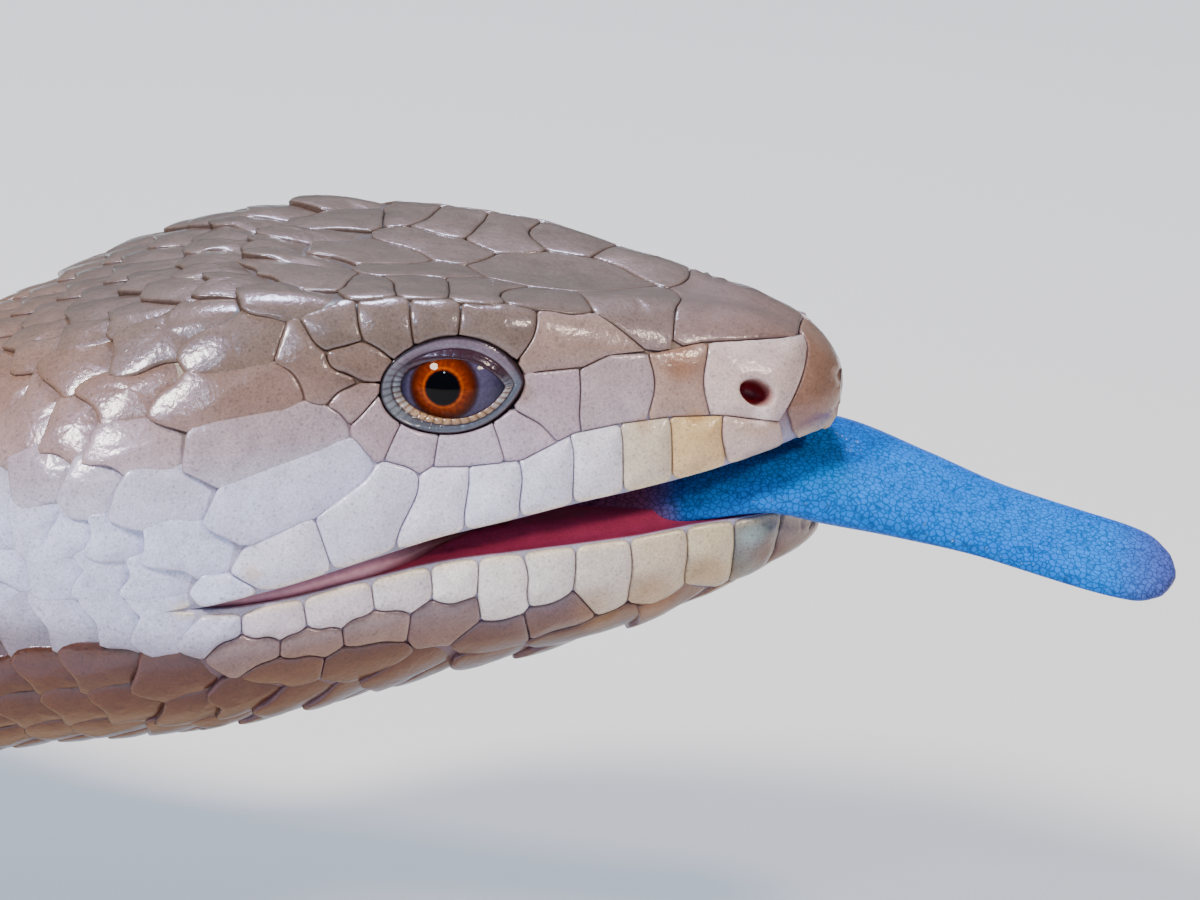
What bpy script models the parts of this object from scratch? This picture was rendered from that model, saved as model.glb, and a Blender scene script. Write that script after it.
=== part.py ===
"""Blue-tongued skink, life size, lying with its head raised and its tongue out.

Lengths here are millimetres and become metres when a mesh is made. The head points along +X, +Z is up and
the animal's right side faces -Y. Until the last step the zero is the middle of the head between the eyes'
centres; the finished model is then moved so that its box stands centred on the zero of the scene.
"""

import math

import bmesh
import bpy
import numpy as np
from mathutils import Matrix, Vector
from mathutils.bvhtree import BVHTree

MM = 0.001
GAP = 0.3                    # air between touching pieces
EYE_HEIGHT = 46.0            # eye centre above the floor
FLOOR = -EYE_HEIGHT
SNOUT = 24.1                 # snout tip in front of the eye centre
CHIN = 22.8                  # tip of the lower jaw in front of the eye centre
HEAD_END = 36.0              # stations behind the eyes where the nodes part
NECK_END = 68.0
TORSO_END = 262.0
TAIL_MIDDLE = 350.0
TAIL_END = 466.0

# The head's form by station: x, height of the midline, of the crown beside it, then sideways reach and height
# of the brow, the cheek and the lip. The crown lies at CROWN_SHARE of the brow's reach.
CROWN_SHARE = 0.68
UPPER_TIP = (0.0, -3.2)
UPPER_ROWS = (
    (23.4, -0.9, -1.1, 1.5, -1.9, 2.5, -3.4, 1.9, -5.2),
    (22.0, 0.5, 0.4, 3.0, -0.5, 4.3, -2.8, 3.9, -5.3),
    (20.0, 1.4, 1.4, 4.4, 0.3, 5.9, -2.4, 5.6, -5.8),
    (16.0, 2.4, 2.5, 6.3, 0.8, 7.7, -3.0, 8.0, -6.7),
    (12.0, 3.1, 3.3, 8.0, 1.5, 9.2, -3.2, 9.9, -7.4),
    (8.0, 3.3, 3.8, 9.7, 2.7, 10.6, -3.2, 11.6, -8.0),
    (4.0, 3.7, 4.3, 11.2, 3.6, 12.3, -3.0, 13.0, -8.8),
    (0.0, 4.1, 4.7, 12.0, 4.0, 13.6, -3.0, 14.2, -9.6),
    (-5.0, 4.6, 5.0, 13.0, 4.2, 15.4, -3.0, 16.1, -10.9),
    (-10.0, 5.0, 5.0, 13.8, 4.0, 17.4, -3.5, 17.9, -12.2),
    (-15.0, 4.9, 4.7, 14.2, 3.2, 18.9, -4.2, 19.0, -13.1),
    (-20.0, 3.9, 3.5, 14.0, 1.7, 19.4, -5.2, 19.2, -13.2),
    (-26.0, 1.7, 1.2, 13.2, -0.6, 18.2, -7.0, 18.2, -13.8),
)
# x, sideways reach and height of the lower lip, then the height of the throat.
LOWER_TIP = (0.0, -12.0)
LOWER_ROWS = (
    (22.2, 1.7, -11.2, -13.0),
    (20.0, 4.3, -10.4, -14.4),
    (16.0, 7.0, -10.4, -16.4),
    (12.0, 9.2, -10.7, -17.9),
    (8.0, 10.9, -10.9, -19.2),
    (4.0, 12.4, -11.1, -20.2),
    (0.0, 13.7, -11.4, -21.0),
    (-5.0, 15.8, -12.2, -22.2),
    (-10.0, 17.7, -13.1, -23.4),
    (-15.0, 18.9, -13.5, -24.4),
    (-20.0, 19.1, -13.5, -25.2),
    (-26.0, 18.1, -13.9, -26.2),
)
# The rounding below the lip line or the widest line: shares of its reach and of the depth below it.
JAW_SHARE = (0.97, 0.40)
UNDER_SHARE = (0.70, 0.84)
# Behind the head: distance behind the eyes, half width, top height, underside height.
BODY_ROWS = (
    (33.0, 16.4, -1.0, -28.0),
    (40.0, 15.6, -3.2, -30.4),
    (50.0, 17.2, -5.4, -35.4),
    (62.0, 20.8, -7.8, -42.0),
    (75.0, 23.8, -8.6, -46.8),
    (95.0, 26.2, -9.2, -47.0),
    (125.0, 28.0, -8.2, -47.0),
    (165.0, 29.0, -8.0, -47.0),
    (205.0, 28.2, -9.0, -47.0),
    (232.0, 24.8, -11.5, -47.0),
    (254.0, 19.6, -15.0, -46.8),
    (274.0, 15.8, -18.8, -46.7),
    (300.0, 14.0, -21.6, -46.7),
    (340.0, 11.8, -25.2, -46.6),
    (380.0, 9.2, -30.0, -46.5),
    (420.0, 6.2, -35.8, -46.4),
    (450.0, 3.4, -41.0, -46.3),
    (TAIL_END, 1.0, -44.4, -46.2),
)
# The rounded back and the sides, as shares of a section's half width and of its depth from the top.
CROWN_DROP = 0.03
BROW_SHARE = (0.62, 0.13)
SIDE_SHARE = (0.93, 0.40)
WIDEST_DROP = 0.66
# Where the body turns in plan: distance behind the eyes and heading in degrees, 0 along -X.
HEADING_ROWS = (
    (-SNOUT, 0.0), (24.0, 0.0), (56.0, 30.0), (80.0, 34.0), (150.0, 8.0),
    (220.0, -12.0), (290.0, -6.0), (380.0, 24.0), (TAIL_END, 40.0),
)
# The mouth and how finely the head is divided
UPPER_SHARES = np.array([0, 0.6, 1.1, 1.6, 2, 2.5, 3, 3.5, 4])
LOWER_SHARES = np.array([0, 0.5, 1, 1.4, 1.8, 2.2, 2.6, 3])
FINE = 3                     # the surface that the shields follow is this many times finer
LIP_THICK = 1.3              # the flesh of each lip, measured across
PALATE_RISE = 1.9            # hollow of the mouth above the upper lip line, and below the lower one
MOUTH_CORNER = 14.0          # the gape ends this far behind the eyes
# The eye, the nostril and the ear
EYE_REACH = (5.0, 4.6, 3.8)  # half length, half depth and half height of the ball
EYE_CENTRE = (0.4, 9.0, -0.4)
OPENING = (4.3, 2.95)        # half length and half height of the almond between the lids
OPENING_X = 0.7
LID = 0.62                   # radius of the rolled rim
NOSTRIL = (19.05, -1.85)     # x and height
EAR = (-29.7, -9.8)
EAR_REACH = (1.5, 2.4)       # half width and half height of the opening
EAR_DEPTH = 2.6
# The head's shields
VIEW_RISE = 17.0             # the side shields are placed as seen from this many degrees above,
VIEW_TURN = 6.0              # turned this many from the right side towards the snout
VIEW_POINT = (0.2, -13.5, 0.0)
RAISE = 0.40                 # height of a shield over the skin between them
SINK = 0.5
BEVEL = 0.28                 # how far its top edge lies inside its root
SEAM = 0.17                  # half the width of the furrow between shields
LIP_CLEAR = 0.45             # room left along the mouth line, the lids and the ear
LID_CLEAR = 0.95
EAR_CLEAR = 3.1
RAYS = 32                    # directions in which a shield's edge is found,
STRAIGHT = 0.31              # and how far the edge may leave the straight lines between the corners kept
BENT = 0.97                  # a shield whose rim turns away more than this, as a cosine, gets a second ring
# Places forward of and above the eye: from h, v to h, v, then how much is added to the shield's reach.
SIDE_SHIELDS = (
    ("nasal", 17.6, 0.5, 20.3, 0.0, 0.2),
    ("front_loreal", 14.5, 1.3, 14.5, -0.7, 0.0),
    ("rear_loreal", 9.9, -0.3, 11.6, 0.2, 0.3),
    ("preocular", 6.4, -1.8, 7.5, -0.4, 0.0),
    ("brow_front", 6.8, 2.8, 9.2, 2.6, 0.1),
    ("brow_1", 2.0, 4.0, 5.0, 3.6, -0.5),
    ("brow_2", -1.2, 4.2, 0.2, 4.2, -0.6),
    ("brow_3", -4.6, 3.9, -3.2, 4.1, -0.3),
    ("upper_temple", -7.2, 3.4, -6.2, 3.6, 0.0),
    ("post_ocular_1", -6.6, 1.6, -5.6, 1.9, -0.2),
    ("post_ocular_2", -9.2, 2.3, -7.0, 0.2, 0.1),
    ("post_ocular_3", -6.4, -0.6, -5.6, -1.2, -0.2),
    ("sub_ocular_1", -4.6, -2.2, -4.2, -3.0, -0.1),
    ("sub_ocular_2", -2.4, -3.8, -1.4, -4.0, -0.2),
    ("sub_ocular_3", 0.3, -4.2, 2.8, -4.2, -0.3),
    ("sub_ocular_4", 4.6, -3.6, 5.8, -2.6, -0.2),
    ("temple_1", -14.5, 2.2, -11.2, 2.9, 0.0),
    ("temple_2", -16.3, -1.0, -10.2, 0.1, 0.0),
    ("temple_3", -14.3, -4.2, -7.2, -2.4, 0.0),
    ("temple_4", -12.8, -8.0, -6.0, -4.6, 0.0),
    ("upper_lip_1", 18.9, -2.6, 19.5, -3.9, 0.0),
    ("upper_lip_2", 15.8, -2.4, 15.8, -4.9, 0.0),
    ("upper_lip_3", 12.7, -2.9, 12.7, -5.6, 0.0),
    ("upper_lip_4", 9.7, -3.5, 9.7, -6.3, 0.0),
    ("upper_lip_5", 6.6, -4.4, 6.4, -7.0, 0.0),
    ("upper_lip_6", 3.3, -5.9, 3.0, -7.8, 0.0),
    ("upper_lip_7", -0.1, -6.0, -0.5, -8.6, 0.0),
    ("upper_lip_8", -6.3, -9.4, -3.0, -6.0, 0.0),
    ("upper_lip_9", -11.8, -11.4, -8.6, -10.3, 0.0),
    ("cheek_1", -16.6, -9.8, -14.2, -10.2, 0.0),
    ("cheek_2", -18.2, -7.2, -15.8, -6.8, 0.0),
    ("cheek_3", -19.8, -3.6, -17.4, -3.8, 0.0),
    ("cheek_4", -20.0, -0.8, -17.6, 0.4, 0.0),
    ("cheek_5", -21.4, -6.2, -20.9, -6.2, 0.0),
    ("cheek_6", -22.4, -2.6, -22.0, -2.2, 0.0),
    ("cheek_7", -19.9, -9.5, -19.5, -9.5, 0.0),
    ("nape_1", -22.4, 1.6, -21.2, 1.6, 0.0),
    ("nape_2", -18.5, 2.2, -14.5, 4.6, 0.0),
    ("nape_3", -20.8, 5.0, -20.4, 5.0, 0.0),
)
# Places on the crown: x and y on the right side, then the added reach. Those with no y are midway.
TOP_SHIELDS = (
    ("rostral", 22.2, -0.8, 22.2, 0.8, 0.4),
    ("fronto_nasal", 16.6, -3.4, 16.6, 3.4, 0.4),
    ("frontal", 3.4, 0.0, 8.4, 0.0, 1.0),
    ("inter_parietal", -9.2, 0.0, -5.2, 0.0, 0.2),
    ("pre_frontal", 10.2, -6.2, 12.0, -3.0, 0.0),
    ("supra_ocular_1", 4.6, -8.0, 7.0, -7.4, 0.0),
    ("supra_ocular_2", 1.8, -9.0, 1.4, -5.4, 0.0),
    ("supra_ocular_3", -1.7, -9.2, -2.2, -6.6, 0.0),
    ("supra_ocular_4", -5.0, -10.0, -5.2, -8.6, 0.0),
    ("fronto_parietal", -3.6, -4.0, -0.8, -2.4, 0.0),
    ("parietal", -12.4, -4.4, -8.2, -8.4, 0.3),
    ("nuchal_1", -16.2, -4.6, -15.8, -1.8, 0.0),
)
JAW_SHIELDS = (
    ("mental", 21.8, -9.4, 21.4, -10.0, 0.0),
    ("lower_lip_1", 19.4, -9.2, 19.4, -10.2, 0.0),
    ("lower_lip_2", 16.8, -9.6, 16.6, -11.0, 0.0),
    ("lower_lip_3", 13.6, -10.2, 13.4, -12.2, 0.0),
    ("lower_lip_4", 9.9, -11.0, 9.7, -12.8, 0.0),
    ("lower_lip_5", 6.6, -11.2, 6.4, -12.4, 0.0),
    ("lower_lip_6", 3.9, -12.2, 3.7, -13.4, 0.2),
    ("lower_lip_7", 0.6, -12.2, 0.6, -12.6, 0.0),
    ("lower_lip_8", -3.4, -13.0, -2.0, -12.6, 0.0),
    ("lower_lip_9", -7.6, -14.2, -5.4, -13.4, 0.0),
    ("lower_lip_10", -11.6, -15.0, -9.6, -14.6, 0.0),
    ("chin_side_1", 6.2, -14.4, 8.0, -13.9, 0.0),
    ("chin_side_2", -0.8, -14.4, 1.0, -14.0, 0.0),
    ("chin_side_3", -5.2, -15.1, -3.4, -14.7, 0.0),
    ("chin_side_4", -9.2, -16.0, -7.4, -15.7, 0.0),
    ("chin_side_5", -13.2, -16.4, -11.2, -16.1, 0.0),
)
# Places under the chin: x and y on the right side.
CHIN_SHIELDS = (
    ("chin_1", 18.6, -1.2, 19.2, -1.2, 0.0),
    ("chin_2", 13.6, -2.6, 16.2, -2.4, 0.0),
    ("chin_3", 8.2, -3.4, 11.4, -3.2, 0.0),
    ("chin_4", 2.6, -4.2, 6.0, -4.0, 0.0),
    ("chin_5", 6.6, -8.6, 11.0, -7.0, 0.0),
)
# The tongue: x, height, half width and half thickness along its middle
TONGUE_KNOTS = (
    (-3.0, -11.0, 5.5, 1.0), (5.0, -10.2, 7.0, 1.6), (13.0, -8.9, 7.0, 1.5), (20.0, -8.1, 6.2, 1.6),
    (24.0, -8.8, 6.0, 1.8), (29.0, -10.2, 5.2, 1.4), (35.0, -12.1, 4.4, 0.95), (40.0, -13.6, 4.4, 0.9),
    (43.5, -14.6, 4.2, 0.8), (45.2, -15.1, 2.8, 0.6),
)
TONGUE_ROLL = -14.0          # degrees, its right edge lower
# The legs: distance behind the eyes, sideways reach, height above the floor, radius
FORE_LEG = (
    (78.0, 10.0, 19.0, 8.0), (81.0, 21.0, 18.0, 8.2), (86.0, 31.0, 15.0, 7.2), (86.0, 38.0, 11.5, 6.2),
    (80.0, 43.0, 8.6, 5.4), (73.0, 46.5, 6.2, 4.3), (69.5, 48.0, 5.0, 3.9),
)
HIND_LEG = (
    (239.0, 8.0, 18.0, 9.0), (234.0, 20.0, 18.0, 9.4), (226.0, 31.0, 16.5, 8.4), (224.0, 38.0, 13.4, 7.0),
    (228.0, 44.0, 9.6, 5.7), (232.5, 48.5, 6.4, 4.5), (234.0, 50.0, 5.4, 4.2),
)
TORSO_STEP = 9.0             # between the torso's rings,
TORSO_SIDES = 8              # and how many points make the right half of each one's back
# Faces that turn less than this, in degrees, are joined up: the first that leaves the solid closed is used.
FLAT_ANGLES = (5.0, 3.0, 1.0, 0.0)
LEG_FLAT = (0.5, 0.0)        # a leg's hollow face keeps every facet, or it would reach into the torso
FOOT_STATION = {"fore": 70.0, "hind": 234.0}   # where each pair of feet is turned to follow the body
LEG_SHIFT = {("fore", -1): 0.0, ("fore", 1): 9.0, ("hind", -1): 6.0, ("hind", 1): -5.0}
TOE_RADIUS = 1.75
CLAW_LENGTH = 3.2
# Toe lengths from the inner to the outer one, and their spread in degrees from the foot's own direction.
TOES = {
    "fore": ((5.6, 52.0), (7.8, 24.0), (8.8, 0.0), (8.2, -24.0), (5.8, -50.0)),
    "hind": ((5.4, 48.0), (7.8, 24.0), (9.6, 4.0), (10.4, -16.0), (7.4, -46.0)),
}
FOOT_TURN = {"fore": 26.0, "hind": 46.0}   # degrees outwards from the way the body faces
# Each node's own finish: linear colour and roughness
FINISHES = {
    "head": ((0.42, 0.33, 0.29), 0.4), "lower_jaw": ((0.62, 0.52, 0.45), 0.4),
    "tongue": ((0.03, 0.23, 0.64), 0.3), "eye_left": ((0.5, 0.1, 0.02), 0.1),
    "eye_right": ((0.5, 0.1, 0.02), 0.1), "neck": ((0.38, 0.27, 0.18), 0.5),
    "torso": ((0.36, 0.25, 0.16), 0.5), "tail_base": ((0.35, 0.24, 0.15), 0.5),
    "tail_tip": ((0.33, 0.22, 0.14), 0.5),
}
LIMB_FINISH = ((0.26, 0.17, 0.11), 0.5)


def smooth_track(knots, values):
    """A function that runs smoothly through the values at the knots and doesn't overshoot them."""
    x = np.array(knots, float)
    y = np.array(values, float).reshape(len(x), -1)
    order = np.argsort(x)
    x, y = x[order], y[order]
    step = np.diff(x)[:, None]
    rise = np.diff(y, axis=0) / step
    slope = np.zeros_like(y)
    slope[0], slope[-1] = rise[0], rise[-1]
    same_way = rise[:-1] * rise[1:] > 0
    weight = (step[:-1] * rise[1:] + step[1:] * rise[:-1]) / (step[:-1] + step[1:])
    steepest = 3.0 * np.minimum(abs(rise[:-1]), abs(rise[1:]))
    slope[1:-1] = np.where(same_way, np.clip(weight, -steepest, steepest), 0.0)

    def at(where):
        where = np.clip(np.atleast_1d(np.asarray(where, float)), x[0], x[-1])
        i = np.clip(np.searchsorted(x, where, side="right") - 1, 0, len(x) - 2)
        h = (x[i + 1] - x[i])[:, None]
        t = ((where - x[i]) / h[:, 0])[:, None]
        return (
            (1 + 2 * t) * (1 - t) ** 2 * y[i] + t * (1 - t) ** 2 * h * slope[i]
            + t * t * (3 - 2 * t) * y[i + 1] - t * t * (1 - t) * h * slope[i + 1]
        )

    return at


def body_section(half_width, top, under):
    """Key points of a body section: (crown z, brow y, z, side y, z, widest y, z)."""
    depth = top - under
    return (
        top - CROWN_DROP * depth,
        BROW_SHARE[0] * half_width, top - BROW_SHARE[1] * depth,
        SIDE_SHARE[0] * half_width, top - SIDE_SHARE[1] * depth,
        half_width, top - WIDEST_DROP * depth,
    )


def upper_track():
    """Back, brow, cheek and lip line to the tail's tip, by the root of the distance behind the snout."""
    tip = UPPER_TIP[1]
    rows = [(0.0, tip, tip, 0.0, tip, 0.0, tip, 0.0, tip)]
    rows += [(math.sqrt(SNOUT - row[0]), *row[1:]) for row in UPPER_ROWS]
    for behind, half_width, top, under in BODY_ROWS:
        rows.append((math.sqrt(SNOUT + behind), top, *body_section(half_width, top, under)))
    return smooth_track([r[0] for r in rows], [r[1:] for r in rows])


def lower_track():
    """Lower lip, throat, widest line and underside, by the root of the distance behind the chin."""
    rows = [(0.0, 0.0, LOWER_TIP[1], LOWER_TIP[1])]
    rows += [(math.sqrt(CHIN - row[0]), *row[1:]) for row in LOWER_ROWS]
    for behind, half_width, top, under in BODY_ROWS:
        rows.append((math.sqrt(CHIN + behind), *body_section(half_width, top, under)[5:], under))
    return smooth_track([r[0] for r in rows], [r[1:] for r in rows])


UPPER = upper_track()
LOWER = lower_track()


def plan_path():
    """The spine in plan: functions for its place and its heading, by the distance behind the eyes."""
    heading = smooth_track([r[0] for r in HEADING_ROWS], [r[1] for r in HEADING_ROWS])
    steps = np.arange(-SNOUT - 1.0, TAIL_END + 2.0, 0.5)
    angle = np.radians(heading(steps)[:, 0])
    x = -np.cumsum(np.cos(angle)) * 0.5
    y = np.cumsum(np.sin(angle)) * 0.5
    x -= np.interp(0.0, steps, x)
    y -= np.interp(0.0, steps, y)
    return (
        lambda s: (np.interp(s, steps, x), np.interp(s, steps, y)),
        lambda s: np.interp(s, steps, angle),
    )


PLACE, HEADING = plan_path()


def in_place(behind, across, height):
    """The point that lies this far behind the eyes along the spine, to the left of it, and above the eyes."""
    x, y = PLACE(behind)
    angle = HEADING(behind)
    return np.stack([x + across * np.sin(angle), y + across * np.cos(angle), height + 0 * x], axis=-1)


def through(points, t):
    """A smooth curve through key points, one unit of t apart; the outer ones only give slopes."""
    i = int(min(max(math.floor(t), 0), len(points) - 4))
    a, b, c, d = (points[i + k] for k in range(4))
    f = t - i
    return (
        (1 + 2 * f) * (1 - f) ** 2 * b + f * (1 - f) ** 2 * (c - a) / 2
        + f * f * (3 - 2 * f) * c - f * f * (1 - f) * (d - b) / 2
    )


def lower_keys(behind):
    """Key points below the lip line: the lip, the jaw's side, its rounding and the underside."""
    y, z, bottom = LOWER(math.sqrt(max(CHIN + behind, 0.0)))[0]
    keys = [(y, z)]
    keys += [(y * across, z - (z - bottom) * down) for across, down in (JAW_SHARE, UNDER_SHARE)]
    return [*keys, (0.0, bottom)]


def upper_section(behind, shares, grow=0.0):
    """Right half of a section above the lip line, from the back (0) to the lip (4), as (across, height)."""
    top, crown, by, bz, cy, cz, ly, lz = UPPER(math.sqrt(max(SNOUT + behind, 0.0)))[0]
    wide = CROWN_SHARE * by
    below = lower_keys(behind)[1]
    points = np.array([(-wide, crown), (0, top), (wide, crown), (by, bz), (cy, cz), (ly, lz), below])
    return widened(np.array([through(points, t) for t in shares]), grow)


def lower_section(behind, shares, grow=0.0):
    """Right half of a section below the lip line, from lip (0) to underside (3), as (across, height)."""
    cheek = tuple(UPPER(math.sqrt(max(SNOUT + behind, 0.0)))[0][4:6])
    keys = lower_keys(behind)
    points = np.array([cheek, *keys, (-keys[2][0], keys[2][1])])
    return widened(np.array([through(points, t) for t in shares]), grow)


def widened(points, grow):
    """The half section pushed outwards by grow."""
    if not grow:
        return points
    middle = np.array([0.0, points[:, 1].mean()])
    away = points - middle
    reach = np.linalg.norm(away, axis=1, keepdims=True)
    return points + away / np.maximum(reach, 1e-6) * grow


def mesh_object(name, points, faces, smooth_angle=50.0):
    """A mesh object from millimetre points, shaded smooth where its faces meet softly."""
    mesh = bpy.data.meshes.new(name)
    mesh.from_pydata([tuple(np.asarray(p) * MM) for p in points], [], [tuple(f) for f in faces])
    mesh.validate()
    made = bpy.data.objects.new(name, mesh)
    bpy.context.scene.collection.objects.link(made)
    work = bmesh.new()
    work.from_mesh(mesh)
    bmesh.ops.recalc_face_normals(work, faces=work.faces)
    bmesh.ops.triangulate(work, faces=work.faces)
    work.to_mesh(mesh)
    work.free()
    mesh.shade_smooth()
    mesh.set_sharp_from_angle(angle=math.radians(smooth_angle))
    return made


def skin_material(name, colour, roughness):
    """A plain Principled finish. The colour is linear."""
    made = bpy.data.materials.new(name)
    made.use_nodes = True
    shader = made.node_tree.nodes["Principled BSDF"]
    shader.inputs["Base Color"].default_value = (*colour, 1.0)
    shader.inputs["Roughness"].default_value = roughness
    shader.inputs["Metallic"].default_value = 0.0
    return made


def finish(item):
    """Gives a node its own material."""
    item.data.materials.clear()
    item.data.materials.append(skin_material(item.name + "_skin", *FINISHES.get(item.name, LIMB_FINISH)))
    item.data.polygons.foreach_set("material_index", [0] * len(item.data.polygons))


def loft(rings, first_point=None, last_point=None):
    """Points and faces of a closed tube through rings of equal length, each end closed flat or to a point."""
    points = [p for ring in rings for p in ring]
    n = len(rings[0])
    faces = []
    for k in range(len(rings) - 1):
        for i in range(n):
            j = (i + 1) % n
            faces.append((k * n + i, k * n + j, (k + 1) * n + j, (k + 1) * n + i))
    for end, ring_start, tip in ((0, 0, first_point), (1, (len(rings) - 1) * n, last_point)):
        ring = list(range(ring_start, ring_start + n))
        if tip is None:
            faces.append(ring if end else ring[::-1])
            continue
        points.append(tip)
        for i in range(n):
            a, b = ring[i], ring[(i + 1) % n]
            faces.append((a, b, len(points) - 1) if end else (b, a, len(points) - 1))
    return points, faces


def closed_ring(behind, right, inner=()):
    """A ring in a section's plane: the right half, then inner points across, then the left half."""
    left = [(-y, z) for y, z in right[::-1]]
    if abs(right[0][0]) < 1e-6:
        left = left[:-1]
    if abs(right[-1][0]) < 1e-6:
        left = left[1:]
    flat = [*right, *inner, *left]
    return [in_place(behind, -y, max(z, FLOOR)) for y, z in flat]


# The head with its upper jaw


def mouth_hollow(behind):
    """How far the mouth is hollowed here: in full in front, nothing behind the corner of the mouth."""
    return float(np.clip((MOUTH_CORNER + 4.0 - behind) / 12.0, 0.0, 1.0))


def palate_points(behind):
    """The inner side of the upper jaw between its lips, from right to left."""
    lip_y, lip_z = UPPER(math.sqrt(SNOUT + behind))[0][6:8]
    share = mouth_hollow(behind)
    inner = max(lip_y - LIP_THICK, 0.3 * lip_y)
    rise = min(PALATE_RISE, 0.5 * lip_y) * share + GAP / 2
    return [(inner, lip_z + rise * 0.6), (0.5 * inner, lip_z + rise), (0.0, lip_z + rise * 1.1),
            (-0.5 * inner, lip_z + rise), (-inner, lip_z + rise * 0.6)]


def floor_points(behind):
    """The floor of the mouth between the lower lips, from left to right."""
    lip_y, lip_z = LOWER(math.sqrt(CHIN + behind))[0][0:2]
    share = mouth_hollow(behind)
    inner = max(lip_y - LIP_THICK, 0.3 * lip_y)
    drop = min(PALATE_RISE, 0.5 * lip_y) * share + GAP / 2
    return [(-inner, lip_z - drop * 0.6), (-0.5 * inner, lip_z - drop), (0.0, lip_z - drop * 1.1),
            (0.5 * inner, lip_z - drop), (inner, lip_z - drop * 0.6)]


def head_stations(tip, fine=1):
    """Stations from just behind the tip to the end of the head, close together at the tip."""
    last = math.sqrt(tip + HEAD_END)
    return [u * u - tip for u in np.linspace(0.45, last, 22 * fine)]


def finer(shares, fine):
    """The shares with evenly spaced ones set between each two."""
    places = np.linspace(0, len(shares) - 1, (len(shares) - 1) * fine + 1)
    return np.interp(places, range(len(shares)), shares)


def build_head(name="head", fine=1):
    """The skull with the upper jaw and cheeks, closed by the palate and the plane where the neck starts."""
    rings = []
    for behind in head_stations(SNOUT, fine):
        right = [tuple(p) for p in upper_section(behind, finer(UPPER_SHARES, fine))]
        rings.append(closed_ring(behind, right, palate_points(behind)))
    tip = in_place(-SNOUT, 0.0, UPPER_TIP[1])
    return mesh_object(name, *loft(rings, first_point=tip))


def build_lower_jaw(name="lower_jaw", fine=1):
    """The lower jaw with the throat, closed by the floor of the mouth."""
    rings = []
    for behind in head_stations(CHIN, fine):
        right = [tuple(p) for p in lower_section(behind, finer(LOWER_SHARES, fine))]
        ring = closed_ring(behind, right)
        left_to_right = [in_place(behind, -y, z) for y, z in floor_points(behind)]
        rings.append([*ring, *left_to_right])
    tip = in_place(-CHIN, 0.0, LOWER_TIP[1])
    return mesh_object(name, *loft(rings, first_point=tip))


def body_ring(behind, grow=0.0, count=9):
    """A whole section of the body as one ring."""
    upper = upper_section(behind, np.linspace(0.0, 4.0, count), grow)
    lower = lower_section(behind, np.linspace(0.0, 3.0, count - 1), grow)
    right = [tuple(p) for p in upper] + [tuple(p) for p in lower[1:]]
    return closed_ring(behind, right)


def length_stations(start, end, step, closed_end=True):
    """Where a length's rings stand, with half the gap left at each end, or only at the first one."""
    last = end - (GAP / 2 if closed_end else 0.0)
    return np.linspace(start + GAP / 2, last, max(3, int(round((end - start) / step)) + 1))


def build_length(name, start, end, step, tip=None, count=9):
    """A length of neck, torso or tail between two stations, with half the gap left at each end."""
    rings = [body_ring(s, count=count) for s in length_stations(start, end, step, tip is None)]
    return mesh_object(name, *loft(rings, last_point=tip))


# Cutting and joining

def boolean(target, operation, tool):
    """Applies one Boolean with an object or a collection, then removes the tools."""
    modifier = target.modifiers.new(operation.lower(), "BOOLEAN")
    modifier.operation = operation
    modifier.solver = "EXACT"
    if isinstance(tool, bpy.types.Collection):
        modifier.operand_type = "COLLECTION"
        modifier.collection = tool
        used = list(tool.objects)
    else:
        tool.display_type, tool.hide_render = "WIRE", True
        modifier.object = tool
        used = [tool]
    graph = bpy.context.evaluated_depsgraph_get()
    result = bpy.data.meshes.new_from_object(target.evaluated_get(graph), depsgraph=graph)
    target.modifiers.clear()
    old = target.data
    target.data = result
    result.name = target.name
    bpy.data.meshes.remove(old)
    for item in used:
        bpy.data.objects.remove(item)
    if isinstance(tool, bpy.types.Collection):
        bpy.data.collections.remove(tool)
    return target


def gathered(name, items):
    """A collection that holds the items as cutters or pieces to join."""
    group = bpy.data.collections.new(name)
    bpy.context.scene.collection.children.link(group)
    for item in items:
        for home in list(item.users_collection):
            home.objects.unlink(item)
        group.objects.link(item)
        item.display_type = "WIRE"
        item.hide_render = True
    return group


def largest_surface(work):
    """Deletes all but the largest connected surface."""
    shells, seen = [], set()
    for seed in work.faces:
        if seed in seen:
            continue
        shell, queue = [], [seed]
        seen.add(seed)
        while queue:
            face = queue.pop()
            shell.append(face)
            for edge in face.edges:
                for other in edge.link_faces:
                    if other not in seen:
                        seen.add(other)
                        queue.append(other)
        shells.append(shell)
    shells.sort(key=lambda shell: sum(f.calc_area() for f in shell), reverse=True)
    bmesh.ops.delete(work, geom=[face for shell in shells[1:] for face in shell], context="FACES")


def tidy_solid(target, smooth_angle=40.0, flat_angles=FLAT_ANGLES):
    """Welds the joins, joins up nearly flat faces as far as the surface stays closed, and shades it."""
    for flat_angle in flat_angles:
        work = bmesh.new()
        work.from_mesh(target.data)
        bmesh.ops.remove_doubles(work, verts=work.verts, dist=0.0015 * MM)
        if flat_angle:
            bmesh.ops.dissolve_limit(work, angle_limit=math.radians(flat_angle), verts=work.verts,
                                     edges=work.edges)
        bmesh.ops.triangulate(work, faces=work.faces)
        largest_surface(work)
        if all(len(edge.link_faces) == 2 for edge in work.edges):
            break
        if flat_angle != flat_angles[-1]:
            work.free()
    work.to_mesh(target.data)
    work.free()
    target.data.shade_smooth()
    target.data.set_sharp_from_angle(angle=math.radians(smooth_angle))
    return target


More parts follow.
